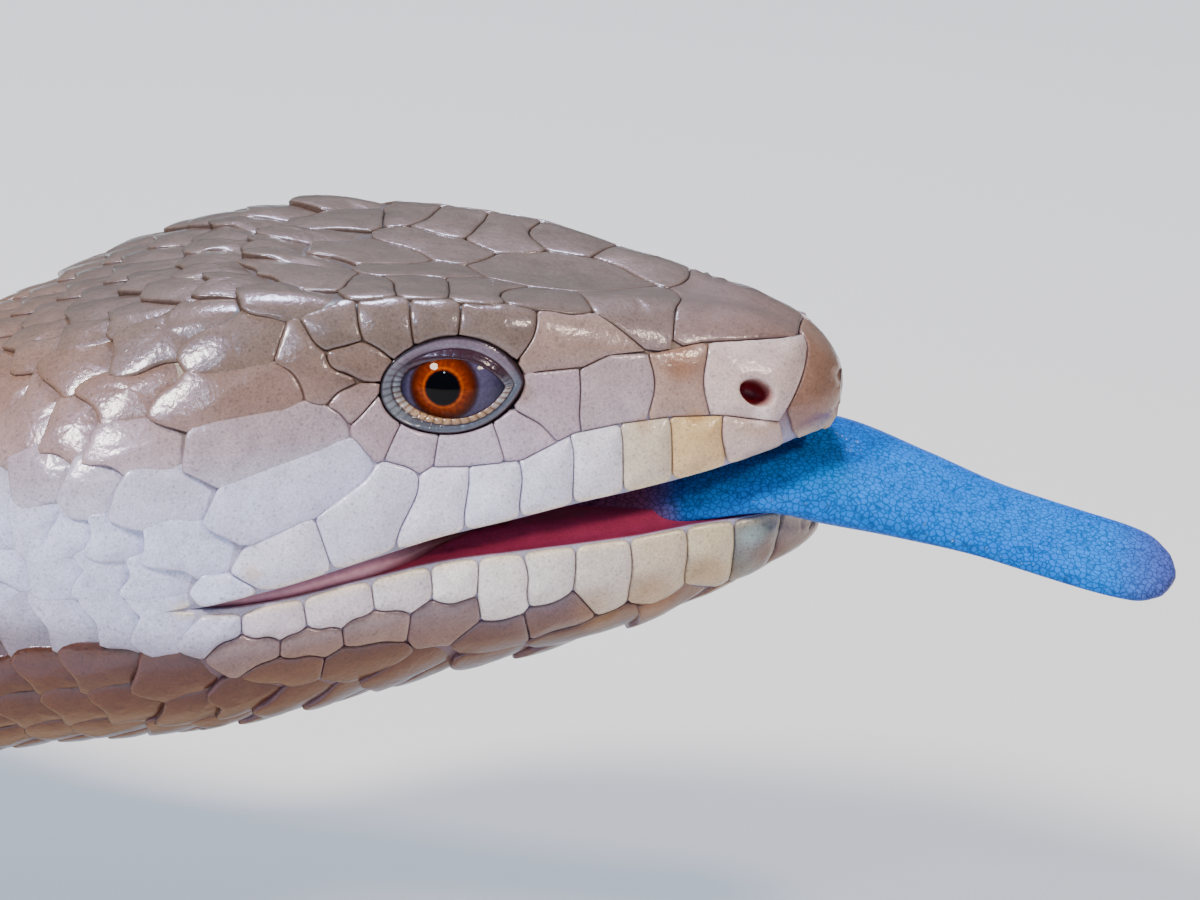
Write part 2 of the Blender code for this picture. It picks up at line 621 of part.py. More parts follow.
def ball(name, middle, reach, turn=None, segments=16, rings=10):
    """A ball stretched to three reaches, turned and placed, in millimetres."""
    points, faces = [], []
    axes = turn if turn is not None else np.eye(3)
    for i in range(1, rings):
        polar = math.pi * i / rings
        for k in range(segments):
            around = math.tau * k / segments
            c, s = math.cos(around), math.sin(around)
            unit = np.array([math.sin(polar) * c, math.sin(polar) * s, math.cos(polar)])
            points.append(np.asarray(middle) + axes.T @ (unit * np.asarray(reach)))
    points += [np.asarray(middle) + axes[2] * reach[2], np.asarray(middle) - axes[2] * reach[2]]
    top, bottom = len(points) - 2, len(points) - 1
    for k in range(segments):
        n = (k + 1) % segments
        faces.append((top, k, n))
        for i in range(rings - 2):
            faces.append((i * segments + k, (i + 1) * segments + k, (i + 1) * segments + n, i * segments + n))
        last = (rings - 2) * segments
        faces.append((last + k, bottom, last + n))
    return mesh_object(name, points, faces)


def frame_along(direction, up=(0.0, 0.0, 1.0)):
    """Rows: across, up and along for a direction."""
    along = np.asarray(direction, float)
    along = along / np.linalg.norm(along)
    across = np.cross(along, up)
    across /= np.linalg.norm(across)
    return np.array([across, np.cross(across, along), along])


def tube(name, path, radii, sides=10, flat=1.0, roll=0.0):
    """A tube along path points with a radius at each one. flat squashes it from above and below."""
    rings = []
    for i, point in enumerate(path):
        ahead = path[min(i + 1, len(path) - 1)] - path[max(i - 1, 0)]
        across, up, _ = frame_along(ahead)
        wide, high = (radii[i], radii[i] * flat) if np.isscalar(radii[i]) else radii[i]
        ring = []
        for k in range(sides):
            angle = math.tau * (k + 0.5) / sides
            c, s = math.cos(angle) * wide, math.sin(angle) * high
            c, s = c * math.cos(roll) - s * math.sin(roll), c * math.sin(roll) + s * math.cos(roll)
            ring.append(point + across * c + up * s)
        rings.append(ring)
    ends = (path[0] * 1.5 - path[1] * 0.5, path[-1] * 1.25 - path[-2] * 0.25)
    return mesh_object(name, *loft(rings, *ends))


def smooth_path(knots, count):
    """Points and radii evenly spaced along a smooth curve through (x, y, z, radius...) knots."""
    knots = np.asarray(knots, float)
    lengths = np.concatenate([[0.0], np.cumsum(np.linalg.norm(np.diff(knots[:, :3], axis=0), axis=1))])
    rows = smooth_track(lengths, knots)(np.linspace(0.0, lengths[-1], count))
    return rows[:, :3], rows[:, 3:]


# The eye, its socket, the nostril and the ear


def eye_centre(side):
    """The middle of one eye ball."""
    return np.array([EYE_CENTRE[0], side * EYE_CENTRE[1], EYE_CENTRE[2]])


def side_point(tree, x, z, side):
    """Where a sideways ray from the middle of the head leaves it, with the outward direction there."""
    start = Vector((x * MM, side * 60.0 * MM, z * MM))
    hit, normal, _, _ = tree.ray_cast(start, Vector((0.0, -side, 0.0)))
    return np.array(hit) / MM, np.array(normal)


def almond(angle):
    """The lid line about its middle: forward and up for an angle round it, with pointed corners."""
    c, s = math.cos(angle), math.sin(angle)
    return OPENING[0] * c, OPENING[1] * s * abs(s) ** 0.25


def lid_ring(tree, side):
    """The rolled rim of both lids, lying along the almond on the head's surface."""
    path = []
    count = 26
    for k in range(count):
        forward, up = almond(math.tau * k / count)
        path.append(side_point(tree, OPENING_X + forward, up, side)[0])
    rings = []
    for k, point in enumerate(path):
        along = path[(k + 1) % count] - path[k - 1]
        outward = np.array([0.0, side, 0.15])
        frame = frame_along(along, outward)
        rings.append([point + LID * (frame[0] * math.cos(a) + frame[1] * math.sin(a))
                      for a in (math.tau * (i + 0.5) / 7 for i in range(7))])
    points = [p for ring in rings for p in ring]
    faces = []
    for k in range(count):
        n = (k + 1) % count
        for i in range(7):
            j = (i + 1) % 7
            faces.append((k * 7 + i, k * 7 + j, n * 7 + j, n * 7 + i))
    return mesh_object(f"lid_{side}", points, faces)


def opening_cutter(side):
    """The almond opening, cut down to the ball."""
    outer, inner = [], []
    for k in range(26):
        forward, up = almond(math.tau * k / 26)
        outer.append(np.array([OPENING_X + forward * 1.02, side * 18.0, up * 1.02]))
        inner.append(np.array([OPENING_X + forward * 0.8, side * (EYE_CENTRE[1] + 1.0), up * 0.8]))
    return mesh_object(f"opening_{side}", *loft([inner, outer]))


def head_cutters(tree):
    """Everything hollowed out of the head's sides."""
    cutters = []
    for side in (-1, 1):
        reach = [r + GAP for r in EYE_REACH]
        cutters.append(ball(f"socket_{side}", eye_centre(side), reach, segments=20, rings=12))
        cutters.append(opening_cutter(side))
        point, normal = side_point(tree, *NOSTRIL, side)
        slant = frame_along(normal * 0.8 + np.array([0.5, 0.0, 0.2]))
        cutters.append(ball(f"nostril_{side}", point, (0.95, 0.6, 1.5), slant, 12, 8))
        point, normal = side_point(tree, *EAR, side)
        cup = frame_along(normal)
        cutters.append(ball(f"ear_cup_{side}", point - normal * 0.2, (*EAR_REACH, EAR_DEPTH), cup, 14, 10))
    return cutters


def tree_of(fine_copy):
    """A search tree over the surface of a fine copy, which is then removed."""
    fine_copy.data.calc_loop_triangles()
    corners = [vertex.co.copy() for vertex in fine_copy.data.vertices]
    tree = BVHTree.FromPolygons(corners, [tuple(t.vertices) for t in fine_copy.data.loop_triangles])
    bpy.data.objects.remove(fine_copy)
    return tree


# The shields of the head: each is grown round a line, out to halfway to its neighbours' lines


def view_axes():
    """Right, up and towards the viewer, for the view in which the side shields are given."""
    rise, turn = math.radians(VIEW_RISE), math.radians(VIEW_TURN)
    right = np.array([math.cos(turn), math.sin(turn), 0.0])
    toward = np.array([math.sin(turn) * math.cos(rise), -math.cos(turn) * math.cos(rise), math.sin(rise)])
    return right, np.cross(toward, right), toward


def hit(tree, start, direction):
    """Where a ray first meets the surface, in millimetres."""
    found = tree.ray_cast(Vector(np.asarray(start) * MM), Vector(direction))[0]
    return np.array(found) / MM


def shield_lines(tree, side_rows, flat_rows, flat_from):
    """Both ends of every shield's line on the surface, on both sides, with the added reach."""
    right, up, toward = view_axes()
    lines = []
    for name, h1, v1, h2, v2, reach in side_rows:
        ends = [hit(tree, np.array(VIEW_POINT) + h * right + v * up + 90.0 * toward, -toward)
                for h, v in ((h1, v1), (h2, v2))]
        lines.append((name, ends, reach))
    for name, x1, y1, x2, y2, reach in flat_rows:
        ends = [hit(tree, (x, y, 60.0 * flat_from), (0.0, 0.0, -flat_from)) for x, y in ((x1, y1), (x2, y2))]
        lines.append((name, ends, reach))
    both = []
    for name, ends, reach in lines:
        middle = abs(ends[0][1] + ends[1][1]) < 0.3
        both.append((name, ends[0], ends[1], reach))
        if not middle:
            both.append((name + "_left", ends[0] * (1, -1, 1), ends[1] * (1, -1, 1), reach))
    return both


def distances(point, starts, ends):
    """Distances from a point to many lines."""
    along = ends - starts
    share = ((point - starts) * along).sum(axis=1) / np.maximum((along * along).sum(axis=1), 1e-9)
    nearest = starts + np.clip(share, 0.0, 1.0)[:, None] * along
    return np.linalg.norm(point - nearest, axis=1)


def main_corners(edge):
    """The numbers of the points that keep a closed edge's shape, found by splitting at the farthest point."""
    count = len(edge)
    first = int(np.argmax(np.linalg.norm(edge - edge.mean(axis=0), axis=1)))
    second = int(np.argmax(np.linalg.norm(edge - edge[first], axis=1)))
    kept = {first, second}

    def split(a, b):
        between = [(a + k) % count for k in range(1, (b - a) % count)]
        if not between:
            return
        away = distances_from_line(edge[between], edge[a], edge[b])
        if away.max() > STRAIGHT:
            middle = between[int(np.argmax(away))]
            kept.add(middle)
            split(a, middle)
            split(middle, b)

    split(first, second)
    split(second, first)
    return sorted(kept)


def distances_from_line(points, start, end):
    """Distances of many points from one line."""
    along = end - start
    share = np.clip((points - start) @ along / max(along @ along, 1e-9), 0.0, 1.0)
    return np.linalg.norm(points - start - share[:, None] * along, axis=1)


def grow_shields(tree, lines, allowed, farthest=7.0):
    """Plates that follow the surface, each out to its neighbours or to where it isn't allowed."""
    starts = np.array([line[1] for line in lines])
    ends = np.array([line[2] for line in lines])
    reaches = np.array([line[3] for line in lines])
    plates = []
    for number, (name, start, end, _) in enumerate(lines):
        found, normal, _, _ = tree.find_nearest(Vector((start + end) / 2 * MM))
        middle, normal = np.array(found) / MM, np.array(normal)
        first = end - start
        if np.linalg.norm(first) < 0.1:
            first = np.array([1.0, 0.0, 0.0])
        first = first - normal * np.dot(first, normal)
        first /= np.linalg.norm(first)
        second = np.cross(normal, first)

        def inside(point):
            to_all = distances(point, starts, ends) - reaches
            own = to_all[number]
            to_all[number] = 1e9
            return own < 3.4 and to_all.min() - own > 2 * SEAM and allowed(point)

        rim = []
        for k in range(RAYS):
            angle = math.tau * k / RAYS
            way = first * math.cos(angle) + second * math.sin(angle)
            low, high = 0.0, farthest
            for _ in range(9):
                tried = (low + high) / 2
                at, _, _, _ = tree.find_nearest(Vector((middle + way * tried) * MM))
                if inside(np.array(at) / MM):
                    low = tried
                else:
                    high = tried
            at, facing, _, _ = tree.find_nearest(Vector((middle + way * low) * MM))
            rim.append((np.array(at) / MM, np.array(facing), way, low))
        if np.mean([r[3] for r in rim]) < 0.75:
            continue
        rim = [rim[k] for k in main_corners(np.array([r[0] for r in rim]))]
        rings = [[at - facing * SINK for at, facing, _, _ in rim],
                 [at + facing * RAISE - way * min(BEVEL, 0.4 * far) for at, facing, way, far in rim]]
        if min(np.dot(facing, normal) for _, facing, _, _ in rim) < BENT:
            half_way = [tree.find_nearest(Vector((middle + way * far * 0.5) * MM)) for _, _, way, far in rim]
            rings.append([np.array(at) / MM + np.array(facing) * (RAISE + 0.08)
                          for at, facing, _, _ in half_way])
        points, faces = loft(rings, middle - normal * SINK, middle + normal * (RAISE + 0.12))
        plates.append(mesh_object("plate_" + name, points, faces))
    return plates


def lip_line(tip, track, columns):
    """The mouth line on the right side as a chain of points."""
    chain = []
    for behind in np.arange(-tip + 0.2, HEAD_END, 1.5):
        row = track(math.sqrt(tip + behind))[0]
        chain.append((-behind, -row[columns[0]], row[columns[1]]))
    return np.array(chain)


def clear_of_openings(point, lips):
    """Whether a plate may reach this point, given the lips, the eye's lids, the ear and the neck."""
    mirrored = np.array([point[0], -abs(point[1]), point[2]])
    if point[0] < -HEAD_END + 1.0 or distances(mirrored, lips[:-1], lips[1:]).min() < LIP_CLEAR:
        return False
    across, up = point[0] - OPENING_X, point[2]
    if abs(point[1]) > 9.0 and abs(across) < 7.0:
        angle = math.atan2(up / OPENING[1], across / OPENING[0])
        rim = almond(angle)
        if math.hypot(across, up) < math.hypot(*rim) + LID_CLEAR:
            return False
    return math.hypot(point[0] - EAR[0], point[2] - EAR[1]) > EAR_CLEAR or abs(point[1]) < 9.0


# The tongue


def build_tongue():
    """The broad flat tongue, from the floor of the mouth to the rounded tip."""
    knots = [(x, 0.0, z, wide, high) for x, z, wide, high in TONGUE_KNOTS]
    path, sizes = smooth_path(knots, 24)
    sizes = [tuple(pair) for pair in sizes]
    return tube("tongue", list(path), sizes, sides=12, roll=math.radians(TONGUE_ROLL))


# Legs and feet


def leg_path(kind, side):
    """World points and radii along a leg."""
    shift = LEG_SHIFT[kind, side]
    knots = []
    for behind, across, high, radius in (FORE_LEG if kind == "fore" else HIND_LEG):
        share = min(max((across - 20.0) / 20.0, 0.0), 1.0)
        point = in_place(behind + shift * share, side * across, FLOOR + high)
        knots.append((*np.ravel(point), radius))
    return smooth_path(knots, 13)


def foot_frame(kind, side):
    """Unit directions of a foot: ahead and outwards, both level."""
    behind = FOOT_STATION[kind] + LEG_SHIFT[kind, side]
    turn = side * math.radians(FOOT_TURN[kind]) - float(HEADING(behind))
    ahead = np.array([math.cos(turn), math.sin(turn), 0.0])
    return ahead, np.array([-math.sin(turn), math.cos(turn), 0.0]) * side


def wrist_plane(kind, side):
    """A point and a direction that part the leg from the foot."""
    path, _ = leg_path(kind, side)
    aim = (path[-1] - path[-2]) / np.linalg.norm(path[-1] - path[-2])
    aim = aim + foot_frame(kind, side)[0]
    return path[-1], aim / np.linalg.norm(aim)


def build_leg(kind, side):
    """A leg from the body's side to the wrist or the ankle, kept clear of the body."""
    path, radii = leg_path(kind, side)
    name = f"{kind}_leg_{'left' if side > 0 else 'right'}"
    leg = tube(name, list(path), list(radii[:, 0]), sides=12, flat=0.92)
    # The same rings as the torso's own, grown by the gap, so that the two faces lie side by side.
    stations = [NECK_END - 4.0, *length_stations(NECK_END, TORSO_END, TORSO_STEP), TORSO_END + 4.0]
    rings = [body_ring(s, grow=GAP + 0.05, count=TORSO_SIDES) for s in stations]
    keep_clear = mesh_object("body_clearance", *loft(rings))
    boolean(leg, "DIFFERENCE", keep_clear)
    tidy_solid(leg, flat_angles=LEG_FLAT)
    place, aim = wrist_plane(kind, side)
    return keep_ahead(leg, place - aim * GAP / 2, -aim, LEG_FLAT)


def build_foot(kind, side):
    """The palm or the sole with five toes and claws, resting flat on the floor."""
    path, radii = leg_path(kind, side)
    ahead, outward = foot_frame(kind, side)
    place, aim = wrist_plane(kind, side)
    wrist, thick = path[-1], radii[-1, 0]
    palm = np.array([wrist[0], wrist[1], FLOOR + 2.7]) + ahead * 5.0
    axes = np.array([ahead, np.cross((0.0, 0.0, 1.0), ahead), (0.0, 0.0, 1.0)])
    foot = ball(f"{kind}_foot_{'left' if side > 0 else 'right'}", palm, (6.0, 5.2, 3.5), axes, 10, 7)
    heel_path = [path[-2], wrist, (wrist + palm) / 2 + (0, 0, 0.4), palm]
    pieces = [tube("heel", heel_path, [thick, thick, 4.3, 3.0], sides=12, flat=0.92)]
    for number, (length, spread) in enumerate(TOES[kind]):
        angle = math.radians(spread)
        out = ahead * math.cos(angle) - outward * math.sin(angle)
        root = palm + ahead * 1.6 - outward * math.sin(angle) * 3.2
        root[2] = FLOOR + 2.4
        knuckle = root + out * (2.4 + 0.55 * length) + (0, 0, 0.6)
        tip = root + out * (2.4 + length) - (0, 0, 1.3)
        toe_path, _ = smooth_path([(*root, 1), (*knuckle, 1), (*tip, 1)], 4)
        sizes = [TOE_RADIUS * f for f in (1.1, 1.05, 0.95, 0.74)]
        pieces.append(tube(f"toe_{number}", list(toe_path), sizes, sides=6))
        claw = [tip - out * 0.8 + (0, 0, 0.35), tip + out * 0.45 * CLAW_LENGTH + (0, 0, 0.45),
                tip + out * 0.85 * CLAW_LENGTH + (0, 0, -0.4)]
        pieces.append(tube(f"claw_{number}", claw, [0.8, 0.62, 0.25], sides=5))
    boolean(foot, "UNION", gathered("foot_pieces", pieces))
    keep_ahead(foot, place + aim * GAP / 2, aim)
    return keep_ahead(foot, (0.0, 0.0, FLOOR), (0.0, 0.0, 1.0))


def keep_ahead(target, place, direction, flat_angles=FLAT_ANGLES):
    """Cuts away what lies behind a plane, in millimetres, and closes the cut flat."""
    work = bmesh.new()
    work.from_mesh(target.data)
    bmesh.ops.bisect_plane(
        work, geom=[*work.verts, *work.edges, *work.faces], plane_co=tuple(np.asarray(place) * MM),
        plane_no=tuple(direction), clear_inner=True, dist=1e-7,
    )
    rim = [edge for edge in work.edges if edge.is_boundary]
    bmesh.ops.holes_fill(work, edges=rim, sides=0)
    work.to_mesh(target.data)
    work.free()
    return tidy_solid(target, flat_angles=flat_angles)


def stand_on_zero():
    """Moves the animal so that its box stands centred on the zero of the scene."""
    corners = []
    for item in bpy.context.scene.objects:
        if item.type == "MESH":
            places = np.empty(len(item.data.vertices) * 3, np.float32)
            item.data.vertices.foreach_get("co", places)
            corners.append(places.reshape(-1, 3))
    everything = np.concatenate(corners)
    low, high = everything.min(axis=0), everything.max(axis=0)
    shift = Vector((-(low[0] + high[0]) / 2, -(low[1] + high[1]) / 2, -low[2]))
    for item in bpy.context.scene.objects:
        if item.type == "MESH":
            item.data.transform(Matrix.Translation(shift))


def main():
    """Clears the scene and builds the animal."""
    for old in list(bpy.data.objects):
        bpy.data.objects.remove(old)
    head = build_head()
    tree = tree_of(build_head("fine_head", FINE))
    raised = [lid_ring(tree, side) for side in (-1, 1)]
    cutters = head_cutters(tree)
    lips = lip_line(SNOUT, UPPER, (6, 7))
    lines = shield_lines(tree, SIDE_SHIELDS, TOP_SHIELDS, 1.0)
    raised += grow_shields(tree, lines, lambda point: clear_of_openings(point, lips))
    boolean(head, "UNION", gathered("raised", raised))
    boolean(head, "DIFFERENCE", gathered("hollows", cutters))
    tidy_solid(head)
    jaw = build_lower_jaw()
    tree = tree_of(build_lower_jaw("fine_jaw", FINE))
    lips = lip_line(CHIN, LOWER, (0, 1))
    lines = shield_lines(tree, JAW_SHIELDS, CHIN_SHIELDS, -1.0)
    plates = grow_shields(tree, lines, lambda point: clear_of_openings(point, lips))
    boolean(jaw, "UNION", gathered("raised", plates))
    tidy_solid(jaw)
    for side, name in ((-1, "eye_right"), (1, "eye_left")):
        ball(name, eye_centre(side), EYE_REACH, segments=16, rings=10)
    build_tongue()
    build_length("neck", HEAD_END, NECK_END, 5.0, count=8)
    build_length("torso", NECK_END, TORSO_END, TORSO_STEP, count=TORSO_SIDES)
    build_length("tail_base", TORSO_END, TAIL_MIDDLE, 9.0, count=7)
    tail_tip = in_place(TAIL_END + 1.0, 0.0, -45.2)
    build_length("tail_tip", TAIL_MIDDLE, TAIL_END, 9.0, tip=tail_tip, count=6)
    for kind in ("fore", "hind"):
        for side in (-1, 1):
            build_leg(kind, side)
            build_foot(kind, side)
    for item in bpy.context.scene.objects:
        finish(item)
    stand_on_zero()


main()
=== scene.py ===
"""The looks of the blue-tongued skink: its skin, head shields, scales, eyes, tongue and claws.

Lengths in the classes are millimetres from the middle of the head between the eyes' centres: x ahead, y to
the animal's left, z up. placed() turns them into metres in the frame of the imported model.
"""

import sys
import enum
import logging
import math
from dataclasses import dataclass, field
from functools import cached_property
from typing import Callable, Iterable, Sequence

import bmesh
import bpy
import numpy as np
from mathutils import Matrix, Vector, noise
from mathutils.bvhtree import BVHTree


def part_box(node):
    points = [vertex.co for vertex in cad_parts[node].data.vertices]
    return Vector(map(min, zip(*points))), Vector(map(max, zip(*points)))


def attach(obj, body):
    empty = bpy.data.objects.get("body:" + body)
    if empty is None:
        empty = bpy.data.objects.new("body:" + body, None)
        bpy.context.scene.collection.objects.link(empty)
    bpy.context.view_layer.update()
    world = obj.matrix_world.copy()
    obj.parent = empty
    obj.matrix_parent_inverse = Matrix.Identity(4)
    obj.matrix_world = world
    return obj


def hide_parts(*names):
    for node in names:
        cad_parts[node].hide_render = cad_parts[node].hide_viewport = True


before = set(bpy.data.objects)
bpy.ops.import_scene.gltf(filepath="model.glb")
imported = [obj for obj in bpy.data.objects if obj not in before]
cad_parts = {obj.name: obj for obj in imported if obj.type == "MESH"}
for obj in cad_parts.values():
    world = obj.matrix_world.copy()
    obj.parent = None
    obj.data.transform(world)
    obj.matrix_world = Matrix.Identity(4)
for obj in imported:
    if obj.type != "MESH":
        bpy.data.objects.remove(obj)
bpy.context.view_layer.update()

LOG = logging.getLogger("skink")
Colour = tuple[float, float, float]
MM = 0.001
ROOT = "root"
UV_NAME = "OFBake"
HUE = "hue"
RIM = "rim"

# The photograph's frame, where the iris lies in it, and its scale at the eye.
FRAME_PIXELS = (1200, 900)
IRIS_PIXEL = (443, 388)
PIXELS_PER_MM = 16.0

# The form, with the same sizes as the solids.
SNOUT = 24.1
CHIN = 22.8
TAIL_END = 466.0
FLOOR = -46.0
FLOOR_CLEAR = 0.05
CROWN_SHARE = 0.68
UPPER_TIP = -3.2             # height of each jaw's tip
LOWER_TIP = -12.0
# x, midline height, crown height, then sideways reach and height of the brow, the cheek and the lip.
UPPER_ROWS = (
    (23.4, -0.9, -1.1, 1.5, -1.9, 2.5, -3.4, 1.9, -5.2),
    (22.0, 0.5, 0.4, 3.0, -0.5, 4.3, -2.8, 3.9, -5.3),
    (20.0, 1.4, 1.4, 4.4, 0.3, 5.9, -2.4, 5.6, -5.8),
    (16.0, 2.4, 2.5, 6.3, 0.8, 7.7, -3.0, 8.0, -6.7),
    (12.0, 3.1, 3.3, 8.0, 1.5, 9.2, -3.2, 9.9, -7.4),
    (8.0, 3.3, 3.8, 9.7, 2.7, 10.6, -3.2, 11.6, -8.0),
    (4.0, 3.7, 4.3, 11.2, 3.6, 12.3, -3.0, 13.0, -8.8),
    (0.0, 4.1, 4.7, 12.0, 4.0, 13.6, -3.0, 14.2, -9.6),
    (-5.0, 4.6, 5.0, 13.0, 4.2, 15.4, -3.0, 16.1, -10.9),
    (-10.0, 5.0, 5.0, 13.8, 4.0, 17.4, -3.5, 17.9, -12.2),
    (-15.0, 4.9, 4.7, 14.2, 3.2, 18.9, -4.2, 19.0, -13.1),
    (-20.0, 3.9, 3.5, 14.0, 1.7, 19.4, -5.2, 19.2, -13.2),
    (-26.0, 1.7, 1.2, 13.2, -0.6, 18.2, -7.0, 18.2, -13.8),
)
# x, sideways reach and height of the lower lip, height of the throat.
LOWER_ROWS = (
    (22.2, 1.7, -11.2, -13.0), (20.0, 4.3, -10.4, -14.4), (16.0, 7.0, -10.4, -16.4), (12.0, 9.2, -10.7, -17.9),
    (8.0, 10.9, -10.9, -19.2), (4.0, 12.4, -11.1, -20.2), (0.0, 13.7, -11.4, -21.0), (-5.0, 15.8, -12.2, -22.2),
    (-10.0, 17.7, -13.1, -23.4), (-15.0, 18.9, -13.5, -24.4), (-20.0, 19.1, -13.5, -25.2), (-26.0, 18.1, -13.9, -26.2),
)
JAW_SHARE = (0.97, 0.40)
UNDER_SHARE = (0.70, 0.84)
# Distance behind the eyes, half width, top height, underside height.
BODY_ROWS = (
    (33.0, 16.4, -1.0, -28.0), (40.0, 15.6, -3.2, -30.4), (50.0, 17.2, -5.4, -35.4), (62.0, 20.8, -7.8, -42.0),
    (75.0, 23.8, -8.6, -46.8), (95.0, 26.2, -9.2, -47.0), (125.0, 28.0, -8.2, -47.0), (165.0, 29.0, -8.0, -47.0),
    (205.0, 28.2, -9.0, -47.0), (232.0, 24.8, -11.5, -47.0), (254.0, 19.6, -15.0, -46.8), (274.0, 15.8, -18.8, -46.7),
    (300.0, 14.0, -21.6, -46.7), (340.0, 11.8, -25.2, -46.6), (380.0, 9.2, -30.0, -46.5), (420.0, 6.2, -35.8, -46.4),
    (450.0, 3.4, -41.0, -46.3), (TAIL_END, 1.0, -44.4, -46.2),
)
CROWN_DROP = 0.03
BROW_SHARE = (0.62, 0.13)
SIDE_SHARE = (0.93, 0.40)
WIDEST_DROP = 0.66
HEADING_ROWS = (
    (-SNOUT, 0.0), (24.0, 0.0), (56.0, 30.0), (80.0, 34.0), (150.0, 8.0),
    (220.0, -12.0), (290.0, -6.0), (380.0, 24.0), (TAIL_END, 40.0),
)
SPINE_STEP = 0.5
SOLE = FLOOR + 0.02
MOUTH_CORNER = 16.0
LIPS_JOIN = 4.0              # over this length before the corner the lips come together
BESIDE = 9.0                 # farther than this to a side lie only the flanks of the head

EYE_CENTRE = (0.4, 9.0, -0.4)
EYE_REACH = (5.0, 4.6, 3.8)


def world_shift() -> np.ndarray:
    """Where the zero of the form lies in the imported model, in millimetres, read from the right eye's box."""
    low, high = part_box("eye_right")
    middle = np.array((low + high) / 2) / MM
    return middle - np.array([EYE_CENTRE[0], -EYE_CENTRE[1], EYE_CENTRE[2]])


SHIFT = world_shift()


def placed(points: np.ndarray) -> np.ndarray:
    """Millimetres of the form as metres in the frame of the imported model."""
    return (np.asarray(points, float) + SHIFT) * MM


def linear(code: str) -> Colour:
    """The linear colour of an sRGB hex code.

    Args:
        code: a colour such as "#A08060".

    Returns:
        Red, green and blue from 0 to 1, linear.
    """
    parts = [int(code[i:i + 2], 16) / 255.0 for i in (1, 3, 5)]
    return tuple(p / 12.92 if p <= 0.04045 else ((p + 0.055) / 1.055) ** 2.4 for p in parts)


def ramp(value: np.ndarray, low: float, high: float) -> np.ndarray:
    """A smooth rise from 0 at low to 1 at high."""
    t = np.clip((np.asarray(value, float) - low) / (high - low), 0.0, 1.0)
    return t * t * (3 - 2 * t)


def mixed(a: np.ndarray, b: np.ndarray, share: np.ndarray) -> np.ndarray:
    """Colours a turned into b by a share for each row."""
    share = np.asarray(share, float).reshape(-1, 1)
    return np.asarray(a) * (1 - share) + np.asarray(b) * share


def painted(base: str | np.ndarray, *layers: tuple[str, np.ndarray]) -> np.ndarray:
    """Colours of many points: a base with one colour after another mixed into it.

    Args:
        base: a hex code, or a linear colour for each point.
        layers: a hex code and its share at each point, from the first to the last.

    Returns:
        A linear colour for each point.
    """
    hue = linear(base) if isinstance(base, str) else base
    for code, share in layers:
        hue = mixed(hue, linear(code), share)
    return hue


def unit(vector: np.ndarray) -> np.ndarray:
    """A vector brought to length 1."""
    return vector / np.linalg.norm(vector)


def units(rows: np.ndarray) -> np.ndarray:
    """Rows of vectors, each brought to length 1."""
    return rows / np.maximum(np.linalg.norm(rows, axis=1, keepdims=True), 1e-12)


def running_length(path: np.ndarray) -> np.ndarray:
    """The length of a path up to each of its points."""
    return np.concatenate([[0.0], np.cumsum(np.linalg.norm(np.diff(path, axis=0), axis=1))])


def cloud(points: np.ndarray, size: float, seed: float = 0.0) -> np.ndarray:
    """Soft noise from -1 to 1 at points in millimetres, with patches of about that size."""
    return np.array([noise.noise(Vector(p) / size + Vector((seed, seed * 2.3, 7.1))) for p in np.asarray(points)])


def smooth_track(knots: Sequence[float], values: Sequence) -> Callable[[np.ndarray], np.ndarray]:
    """A function that runs smoothly through values at knots without overshoot.

    Args:
        knots: places along the track.
        values: one number or row of numbers for each place.

    Returns:
        A function of places that gives rows of values.
    """
    x = np.array(knots, float)
    y = np.array(values, float).reshape(len(x), -1)
    order = np.argsort(x)
    x, y = x[order], y[order]
    step = np.diff(x)[:, None]
    rise = np.diff(y, axis=0) / step
    slope = np.zeros_like(y)
    slope[0], slope[-1] = rise[0], rise[-1]
    weight = (step[:-1] * rise[1:] + step[1:] * rise[:-1]) / (step[:-1] + step[1:])
    steepest = 3.0 * np.minimum(abs(rise[:-1]), abs(rise[1:]))
    slope[1:-1] = np.where(rise[:-1] * rise[1:] > 0, np.clip(weight, -steepest, steepest), 0.0)

    def at(where: np.ndarray) -> np.ndarray:
        where = np.clip(np.atleast_1d(np.asarray(where, float)), x[0], x[-1])
        i = np.clip(np.searchsorted(x, where, side="right") - 1, 0, len(x) - 2)
        h = (x[i + 1] - x[i])[:, None]
        t = ((where - x[i]) / h[:, 0])[:, None]
        return (
            (1 + 2 * t) * (1 - t) ** 2 * y[i] + t * (1 - t) ** 2 * h * slope[i]
            + t * t * (3 - 2 * t) * y[i + 1] - t * t * (1 - t) * h * slope[i + 1]
        )

    return at


def through(points: np.ndarray, t: np.ndarray) -> np.ndarray:
    """A smooth curve through key points, one unit of t from each to the next."""
    i = np.clip(np.floor(t).astype(int), 0, len(points) - 4)
    f = (np.asarray(t, float) - i)[:, None]
    a, b, c, d = (points[i + k] for k in range(4))
    return (
        (1 + 2 * f) * (1 - f) ** 2 * b + f * (1 - f) ** 2 * (c - a) / 2
        + f * f * (3 - 2 * f) * c - f * f * (1 - f) * (d - b) / 2
    )


class Side(enum.IntEnum):
    """Which side of the animal a piece is on, as the sign of its y."""

    RIGHT = -1
    LEFT = 1

    @property
    def word(self) -> str:
        """The side as it stands in the names of pieces and nodes."""
        return self.name.lower()


class Region(enum.IntEnum):
    """Where a point of the skin lies."""

    OUTSIDE = 0
    PALATE = 1
    MOUTH_FLOOR = 2


